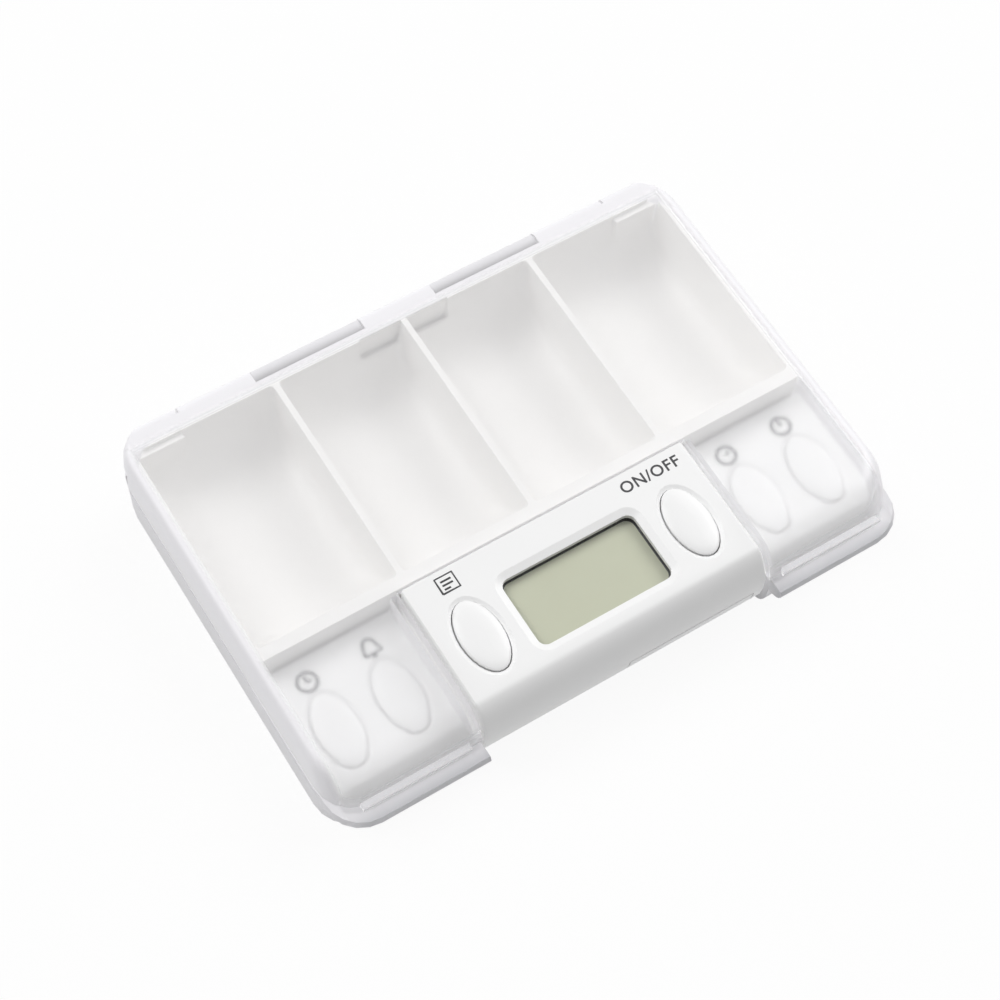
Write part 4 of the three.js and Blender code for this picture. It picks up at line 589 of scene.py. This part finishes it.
@dataclass(frozen=True)
class Smoothing:
    """How a faceted CAD piece is shaded: smooth over its curves and sharp at its edges.

    An edge is sharp where the surface turns by more than sharp_angle_deg. In front of soft_front_mm
    the wider soft_angle_deg holds instead, which keeps a front that is rolled in few steps smooth.
    """

    sharp_angle_deg: float = 28.0
    soft_angle_deg: float = 28.0
    soft_front_mm: float = -100.0
    weld_mm: float = 0.002
    large_face_weight: int = 100

    def group(self) -> bpy.types.NodeTree:
        """Makes the modifier's nodes, once for each pair of angle and front line.

        Returns:
            The geometry node group.
        """
        name = f"smooth_{self.sharp_angle_deg:.0f}_{-self.soft_front_mm:.0f}"
        if name in bpy.data.node_groups:
            return bpy.data.node_groups[name]
        tree = bpy.data.node_groups.new(name, "GeometryNodeTree")
        for in_out in ("INPUT", "OUTPUT"):
            tree.interface.new_socket("Geometry", in_out=in_out, socket_type="NodeSocketGeometry")
        start = add_node(tree, "NodeGroupInput", {}, {})
        faces = add_node(tree, "GeometryNodeSetShadeSmooth", {"domain": "FACE", "Shade Smooth": True}, {
            "Geometry": start.outputs["Geometry"],
        })
        turn = add_node(tree, "GeometryNodeInputMeshEdgeAngle", {}, {}).outputs["Unsigned Angle"]
        place = add_node(tree, "GeometryNodeInputPosition", {}, {})
        split = add_node(tree, "ShaderNodeSeparateXYZ", {}, {"Vector": place.outputs["Position"]})
        limits = (
            (turn, math.radians(self.sharp_angle_deg)),
            (split.outputs["Y"], self.soft_front_mm * MM),
            (turn, math.radians(self.soft_angle_deg)),
        )
        past = []
        for value, limit in limits:
            settings = {"operation": "GREATER_THAN", "data_type": "FLOAT", 1: limit}
            past.append(add_node(tree, "FunctionNodeCompare", settings, {0: value}).outputs[0])
        turns, behind, turns_far = past
        sharp_behind = add_node(tree, "FunctionNodeBooleanMath", {"operation": "AND"}, {0: turns, 1: behind})
        sharp = add_node(tree, "FunctionNodeBooleanMath", {"operation": "OR"}, {
            0: sharp_behind.outputs[0], 1: turns_far,
        })
        edges = add_node(tree, "GeometryNodeSetShadeSmooth", {"domain": "EDGE", "Shade Smooth": False}, {
            "Geometry": faces.outputs["Geometry"], "Selection": sharp.outputs[0],
        })
        add_node(tree, "NodeGroupOutput", {}, {0: edges.outputs["Geometry"]})
        return tree

    def apply(self, piece: bpy.types.Object) -> None:
        """Adds the modifiers to a piece.

        Args:
            piece: The CAD piece.
        """
        weld = piece.modifiers.new("weld", "WELD")
        weld.merge_threshold = self.weld_mm * MM
        smooth = piece.modifiers.new("smooth", "NODES")
        smooth.node_group = self.group()
        even = piece.modifiers.new("even", "WEIGHTED_NORMAL")
        even.mode = "FACE_AREA"
        even.weight = self.large_face_weight
        even.keep_sharp = True


@dataclass
class SubAssembly(ABC):
    """Pieces that come off the bench together."""

    smoothing: Smoothing = Smoothing()

    @abstractmethod
    def build(self) -> None:
        """Builds and dresses the pieces."""

    def dress(self, finish: Finish, *names: str) -> None:
        """Gives CAD pieces their finish and smooth curves.

        Args:
            finish: The finish.
            names: The pieces' names.
        """
        for name in names:
            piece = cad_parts[name]
            piece.data.materials.clear()
            piece.data.materials.append(finish.material())
            self.smoothing.apply(piece)
            LOG.info("dressed %s in %s", name, finish.name)

    def print_on_timer(self, name: str, mesh: bpy.types.Mesh, ink: Finish) -> None:
        """Puts a thin piece on the timer, which is fixed in the case: the printed marks, and the black ring
        that paints the shadow at the display's edge.

        Args:
            name: The piece's name.
            mesh: Its mesh.
            ink: Its ink, which for the display's ring is painted shadow.
        """
        mesh.name = name
        mesh.materials.clear()
        mesh.materials.append(ink.material())
        piece = add_object(name, mesh)
        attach(piece, CASE_BODY)
        LOG.info("printed %s", piece.name)


@dataclass
class HingedCase(SubAssembly):
    """The frosted case: two clam-shell halves and the pin through their knuckles."""

    def build(self) -> None:
        """Dresses the lid, the base and the pin."""
        self.dress(LID_PP, "case_lid")
        self.dress(BASE_PP, "case_base")
        self.dress(STEEL, "hinge_pin")


@dataclass
class PillTray(SubAssembly):
    """The white drop-in tray with its four scooped compartments."""

    def build(self) -> None:
        """Dresses the tray."""
        self.dress(WHITE_STYRENE, "pill_tray")


@dataclass
class TimerShells(SubAssembly):
    """The timer's shells and door, whose nose rolls from the flat top to the front."""

    smoothing: Smoothing = Smoothing(sharp_angle_deg=20.0, soft_front_mm=-31.8)

    def build(self) -> None:
        """Dresses the shells, the door and the display's holder."""
        self.dress(WHITE_ABS, "timer_top_shell", "timer_bottom_shell", "battery_door", "display_holder")


@dataclass
class Fasteners(SubAssembly):
    """The screws that hold the shells together and the board in its place."""

    def build(self) -> None:
        """Dresses the eight screws."""
        for side in ("left", "right"):
            for place in ("outer", "inner"):
                self.dress(STEEL, f"{side}_{place}_shell_screw", f"{side}_{place}_board_screw")


@dataclass
class Keypad(SubAssembly):
    """The six oval keys and the rubber mats under them."""

    key_names: tuple[str, ...] = ("time", "alarm", "memo", "on_off", "hour", "minute")
    mat_names: tuple[str, ...] = ("left", "right", "memo", "on_off")

    def build(self) -> None:
        """Dresses the keys and their mats."""
        self.dress(KEY_ABS, *(f"{name}_button" for name in self.key_names))
        self.dress(GREY_SILICONE, *(f"{name}_key_mat" for name in self.mat_names))


@dataclass
class CircuitBoard(SubAssembly):
    """The board and what is soldered or bonded to it."""

    def build(self) -> None:
        """Dresses the board and its components."""
        self.dress(LAMINATE, "circuit_board")
        self.dress(BOND_RESIN, "chip_blob", "chip_resistor")
        self.dress(CHIP_CERAMIC, "left_chip_capacitor", "right_chip_capacitor")
        self.dress(STEEL, "clock_crystal")


@dataclass
class Sounder(SubAssembly):
    """The sounder's disc and plate with their two leads."""

    def build(self) -> None:
        """Dresses the sounder."""
        self.dress(BRASS, "sounder_disc")
        self.dress(PIEZO_CERAMIC, "sounder_ceramic")
        self.dress(RED_PVC, "red_sounder_lead")
        self.dress(BLACK_PVC, "black_sounder_lead")


@dataclass
class CellHolder(SubAssembly):
    """The two button cells and the metal that joins them."""

    def build(self) -> None:
        """Dresses the cells, the contacts and the link on the door."""
        self.dress(STEEL, "left_cell", "right_cell")
        self.dress(PHOSPHOR_BRONZE, "negative_contact", "positive_contact", "cell_link_plate")


def arc(
    radius: float, lift: float = 0.0, start: float = 0.0, turn: float = 2 * math.pi, steps: int = 40,
) -> Stroke:
    """Draws an arc about a sign's middle.

    Args:
        radius: Its radius.
        lift: How far its own middle lies above the sign's.
        start: The angle where it starts.
        turn: How far it turns.
        steps: The number of its straight steps.

    Returns:
        Its points in order.
    """
    angles = (start + turn * step / steps for step in range(steps + 1))
    return tuple((radius * math.cos(angle), radius * math.sin(angle) + lift) for angle in angles)


class Mark(Enum):
    """The generic signs beside the keys: pen strokes about the middle, in shares of half the height."""

    NOTE = (
        ((-1.1, -1.0), (1.1, -1.0), (1.1, 1.0), (-1.1, 1.0), (-1.1, -1.0)),
        ((-0.66, 0.4), (0.66, 0.4)),
        ((-0.66, -0.1), (0.66, -0.1)),
        ((-0.66, -0.6), (0.11, -0.6)),
    )
    CLOCK = (arc(1.0), ((0.0, 0.65), (0.0, 0.0), (0.5, 0.0)))
    BELL = (
        ((-0.95, -0.7), *arc(0.65, lift=0.25, start=math.pi, turn=-math.pi), (0.95, -0.7), (-0.95, -0.7)),
        ((-0.25, -1.0), (0.25, -1.0)),
    )
    HOUR_HAND = (arc(1.0), ((0.0, 0.0), (0.45, 0.3)))
    MINUTE_HAND = (arc(1.0), ((0.0, 0.0), (0.0, 0.75)))


@dataclass(frozen=True)
class Sign:
    """One printed sign: its strokes, its middle, half its height and the width of its line."""

    mark: Mark
    place_mm: Place
    half_mm: float = 1.7
    line_mm: float = 0.6


@dataclass
class PrintedMarks(SubAssembly):
    """The pad-printed marks: the switch's own words and plain signs beside the other keys."""

    ink: Finish = PAD_INK_AND_SHADOW_BLACK
    ink_mm: float = 0.02
    lift_mm: float = 0.01
    words: str = "ON/OFF"
    words_place_mm: Place = (19.6, -12.3, 17.0)
    word_height_mm: float = 3.0
    word_weight_mm: float = 0.045
    letter_spacing: float = 1.1
    signs: dict[str, Sign] = field(default_factory=lambda: {
        "memo_mark": Sign(Mark.NOTE, (-20.4, -12.2, 17.0), half_mm=1.5, line_mm=0.34),
        "time_mark": Sign(Mark.CLOCK, (-47.6, -13.4, 10.2)),
        "alarm_mark": Sign(Mark.BELL, (-35.7, -13.3, 10.2)),
        "hour_mark": Sign(Mark.HOUR_HAND, (35.6, -13.3, 10.2)),
        "minute_mark": Sign(Mark.MINUTE_HAND, (47.2, -13.3, 10.2)),
    })

    def print_curve(self, name: str, curve: bpy.types.Curve, place_mm: Place) -> None:
        """Turns a drawn curve into thin raised ink.

        Args:
            name: The printed piece's name.
            curve: The curve, drawn about its own middle.
            place_mm: Where its middle goes.
        """
        drawn = add_object(f"{name}_line", curve)
        bpy.context.view_layer.update()
        mesh = bpy.data.meshes.new_from_object(drawn.evaluated_get(bpy.context.evaluated_depsgraph_get()))
        bpy.data.objects.remove(drawn)
        mesh.transform(Matrix.Translation(Vector(place_mm) * MM + Vector((0, 0, self.lift_mm * MM))))
        self.print_on_timer(name, mesh, self.ink)

    def print_words(self) -> None:
        """Prints the switch's words."""
        curve = bpy.data.curves.new("switch_words", "FONT")
        curve.body = self.words
        curve.size = self.word_height_mm * MM
        curve.align_x = "CENTER"
        curve.align_y = "CENTER"
        curve.extrude = self.ink_mm * MM / 2
        curve.space_character = self.letter_spacing
        curve.offset = self.word_weight_mm * MM
        self.print_curve("switch_words", curve, self.words_place_mm)

    def print_sign(self, name: str, sign: Sign) -> None:
        """Prints one sign with a pen as wide as its line and as high as the ink.

        Args:
            name: The printed piece's name.
            sign: The sign.
        """
        curve = bpy.data.curves.new(name, "CURVE")
        curve.dimensions = "3D"
        for stroke in sign.mark.value:
            line = curve.splines.new("POLY")
            line.points.add(len(stroke) - 1)
            for point, (x, y) in zip(line.points, stroke):
                point.co = (x * sign.half_mm * MM, y * sign.half_mm * MM, 0.0, 1.0)
        pen = bpy.data.curves.new(f"{name}_pen", "CURVE")
        pen.dimensions = "2D"
        tip = pen.splines.new("POLY")
        half, high = sign.line_mm * MM / 2, self.ink_mm * MM
        corners = ((-half, 0.0), (half, 0.0), (half, high), (-half, high))
        tip.points.add(len(corners) - 1)
        for point, (x, y) in zip(tip.points, corners):
            point.co = (x, y, 0.0, 1.0)
        tip.use_cyclic_u = True
        pen_object = add_object(f"{name}_pen", pen)
        curve.bevel_mode = "OBJECT"
        curve.bevel_object = pen_object
        curve.use_fill_caps = True
        self.print_curve(name, curve, sign.place_mm)
        bpy.data.objects.remove(pen_object)

    def build(self) -> None:
        """Prints the words and every sign."""
        self.print_words()
        for name, sign in self.signs.items():
            self.print_sign(name, sign)


@dataclass
class Display(SubAssembly):
    """The display in its window, with a black ring round its edge: painted shadow where the window's rim
    shades it.
    """

    # the black that paints the shadow at the display's edge
    ink: Finish = PAD_INK_AND_SHADOW_BLACK
    middle_mm: Point = (0.0, -23.1)
    opening_mm: Point = (25.6, 13.1)
    outside_mm: Point = (28.6, 16.1)
    bottom_mm: float = 14.62
    ink_mm: float = 0.05
    corner_mm: float = 1.6
    corner_steps: int = 6

    def outline(self, size_mm: Point) -> list[Point]:
        """Points of a rounded rectangle about the display's middle.

        Args:
            size_mm: Its width and its depth.

        Returns:
            The points in order, in millimetres.
        """
        points = []
        across, deep = size_mm[0] / 2 - self.corner_mm, size_mm[1] / 2 - self.corner_mm
        for quarter, (side, end) in enumerate(((1, 1), (-1, 1), (-1, -1), (1, -1))):
            for step in range(self.corner_steps + 1):
                angle = math.pi / 2 * (quarter + step / self.corner_steps)
                x = self.middle_mm[0] + side * across + self.corner_mm * math.cos(angle)
                y = self.middle_mm[1] + end * deep + self.corner_mm * math.sin(angle)
                points.append((x, y))
        return points

    def lay_shadow_ring(self) -> None:
        """Lays the black ring of painted shadow, a closed flat ring at the display's edge."""
        shape = bmesh.new()
        rings = []
        for size_mm in (self.opening_mm, self.outside_mm):
            for height_mm in (self.bottom_mm, self.bottom_mm + self.ink_mm):
                places = [(x * MM, y * MM, height_mm * MM) for x, y in self.outline(size_mm)]
                rings.append([shape.verts.new(place) for place in places])
        inner_low, inner_high, outer_low, outer_high = rings
        inside, outside = (inner_high, inner_low), (outer_low, outer_high)
        bottom, top = (inner_low, outer_low), (outer_high, inner_high)
        count = len(inner_low)
        for first, second in (inside, outside, bottom, top):
            for index in range(count):
                after = (index + 1) % count
                shape.faces.new((first[index], first[after], second[after], second[index]))
        bmesh.ops.recalc_face_normals(shape, faces=shape.faces)
        mesh = bpy.data.meshes.new("display_shadow_ring")
        shape.to_mesh(mesh)
        shape.free()
        self.print_on_timer("display_shadow_ring", mesh, self.ink)

    def build(self) -> None:
        """Dresses the window, the display and its connector, and lays the black ring of painted shadow."""
        self.dress(ACRYLIC, "display_lens")
        self.dress(DISPLAY_FILM, "display_cell")
        self.dress(GREY_SILICONE, "zebra_strip")
        self.lay_shadow_ring()


@dataclass(frozen=True)
class Lamp:
    """A soft square lamp that faces the object."""

    name: str
    watts: float
    place_m: Place
    size_m: float = 1.0

    def hang(self) -> None:
        """Adds the lamp to the scene."""
        lamp = bpy.data.lights.new(self.name, "AREA")
        lamp.energy = self.watts
        lamp.size = self.size_m
        holder = add_object(self.name, lamp)
        holder.location = self.place_m
        holder.rotation_euler = Vector(self.place_m).to_track_quat("Z", "Y").to_euler()
        LOG.info("hung %s", self.name)


@dataclass(frozen=True)
class PhotoCamera:
    """The photograph's camera, solved from the straight edges of the case in it.

    Its place and axes are in the object's frame. Its focal length is in pixels of the square frame.
    """

    place_mm: Place = (-115.9, -150.25, 360.5)
    right: Place = (0.84765, -0.52833, 0.04850)
    up: Place = (0.44743, 0.76098, 0.46980)
    back: Place = (-0.28512, -0.37653, 0.88144)
    focal_px: float = 2331.0
    frame_px: float = 1000.0
    sensor_mm: float = 36.0
    near_mm: float = 1.0

    def stand(self) -> None:
        """Adds the camera to the scene."""
        data = bpy.data.cameras.new("photo_camera")
        data.sensor_width = self.sensor_mm
        data.lens = self.focal_px / self.frame_px * self.sensor_mm
        data.clip_start = self.near_mm * MM
        camera = add_object("photo_camera", data)
        axes = Matrix((self.right, self.up, self.back)).transposed()
        camera.matrix_world = Matrix.Translation(Vector(self.place_mm) * MM) @ axes.to_4x4()
        bpy.context.scene.camera = camera


@dataclass
class Studio:
    """The floor, the white surroundings, the lamps and the camera.

    Together the surroundings and the lamps light a level surface to about 1, so a colour looks as it
    is written. The lamps hang away from where the case's top mirrors the camera, so nothing glares.
    """

    floor: Finish = STUDIO_BOARD
    floor_half_m: float = 3.0
    floor_drop_mm: float = 0.05  # keeps the floor clear of the case's flat bottom
    soft_strength: float = 0.33
    lamps: tuple[Lamp, ...] = (
        Lamp("left_lamp", 17.6, (-0.7, 1.0, 1.5)),
        Lamp("right_lamp", 14.7, (1.3, 0.3, 1.15)),
    )
    camera: PhotoCamera = PhotoCamera()

    def lay_floor(self) -> None:
        """Lays the floor under the object."""
        half, drop = self.floor_half_m, self.floor_drop_mm * MM
        shape = bmesh.new()
        places = ((-half, -half), (half, -half), (half, half), (-half, half))
        shape.faces.new([shape.verts.new((x, y, -drop)) for x, y in places])
        mesh = bpy.data.meshes.new("studio_floor")
        shape.to_mesh(mesh)
        shape.free()
        mesh.materials.append(self.floor.material())
        floor = add_object("studio_floor", mesh)
        LOG.info("laid %s", floor.name)

    def surround(self) -> None:
        """Makes the even surroundings, which look white behind the object."""
        world = bpy.data.worlds.new("studio")
        world.use_nodes = True
        tree = world.node_tree
        tree.nodes.clear()
        soft, white = (
            add_node(tree, "ShaderNodeBackground", {"Color": linear(WHITE), "Strength": strength}, {})
            for strength in (self.soft_strength, WHITE_STRENGTH)
        )
        mix = add_node(tree, "ShaderNodeMixShader", {}, {
            0: white_rays(tree), 1: soft.outputs["Background"], 2: white.outputs["Background"],
        })
        add_node(tree, "ShaderNodeOutputWorld", {}, {"Surface": mix.outputs["Shader"]})
        bpy.context.scene.world = world

    def build(self) -> None:
        """Builds the whole studio."""
        self.lay_floor()
        self.surround()
        for lamp in self.lamps:
            lamp.hang()
        self.camera.stand()
        bpy.context.scene.view_settings.view_transform = "Standard"


def main() -> None:
    """Builds the studio and then each sub-assembly in order."""
    logging.basicConfig(level=logging.INFO, format="%(message)s")
    Studio().build()
    sub_assemblies = (
        HingedCase(), PillTray(), TimerShells(), Fasteners(), Keypad(), CircuitBoard(), Sounder(),
        CellHolder(), PrintedMarks(), Display(),
    )
    for sub_assembly in sub_assemblies:
        sub_assembly.build()


if __name__ == "__main__":
    main()
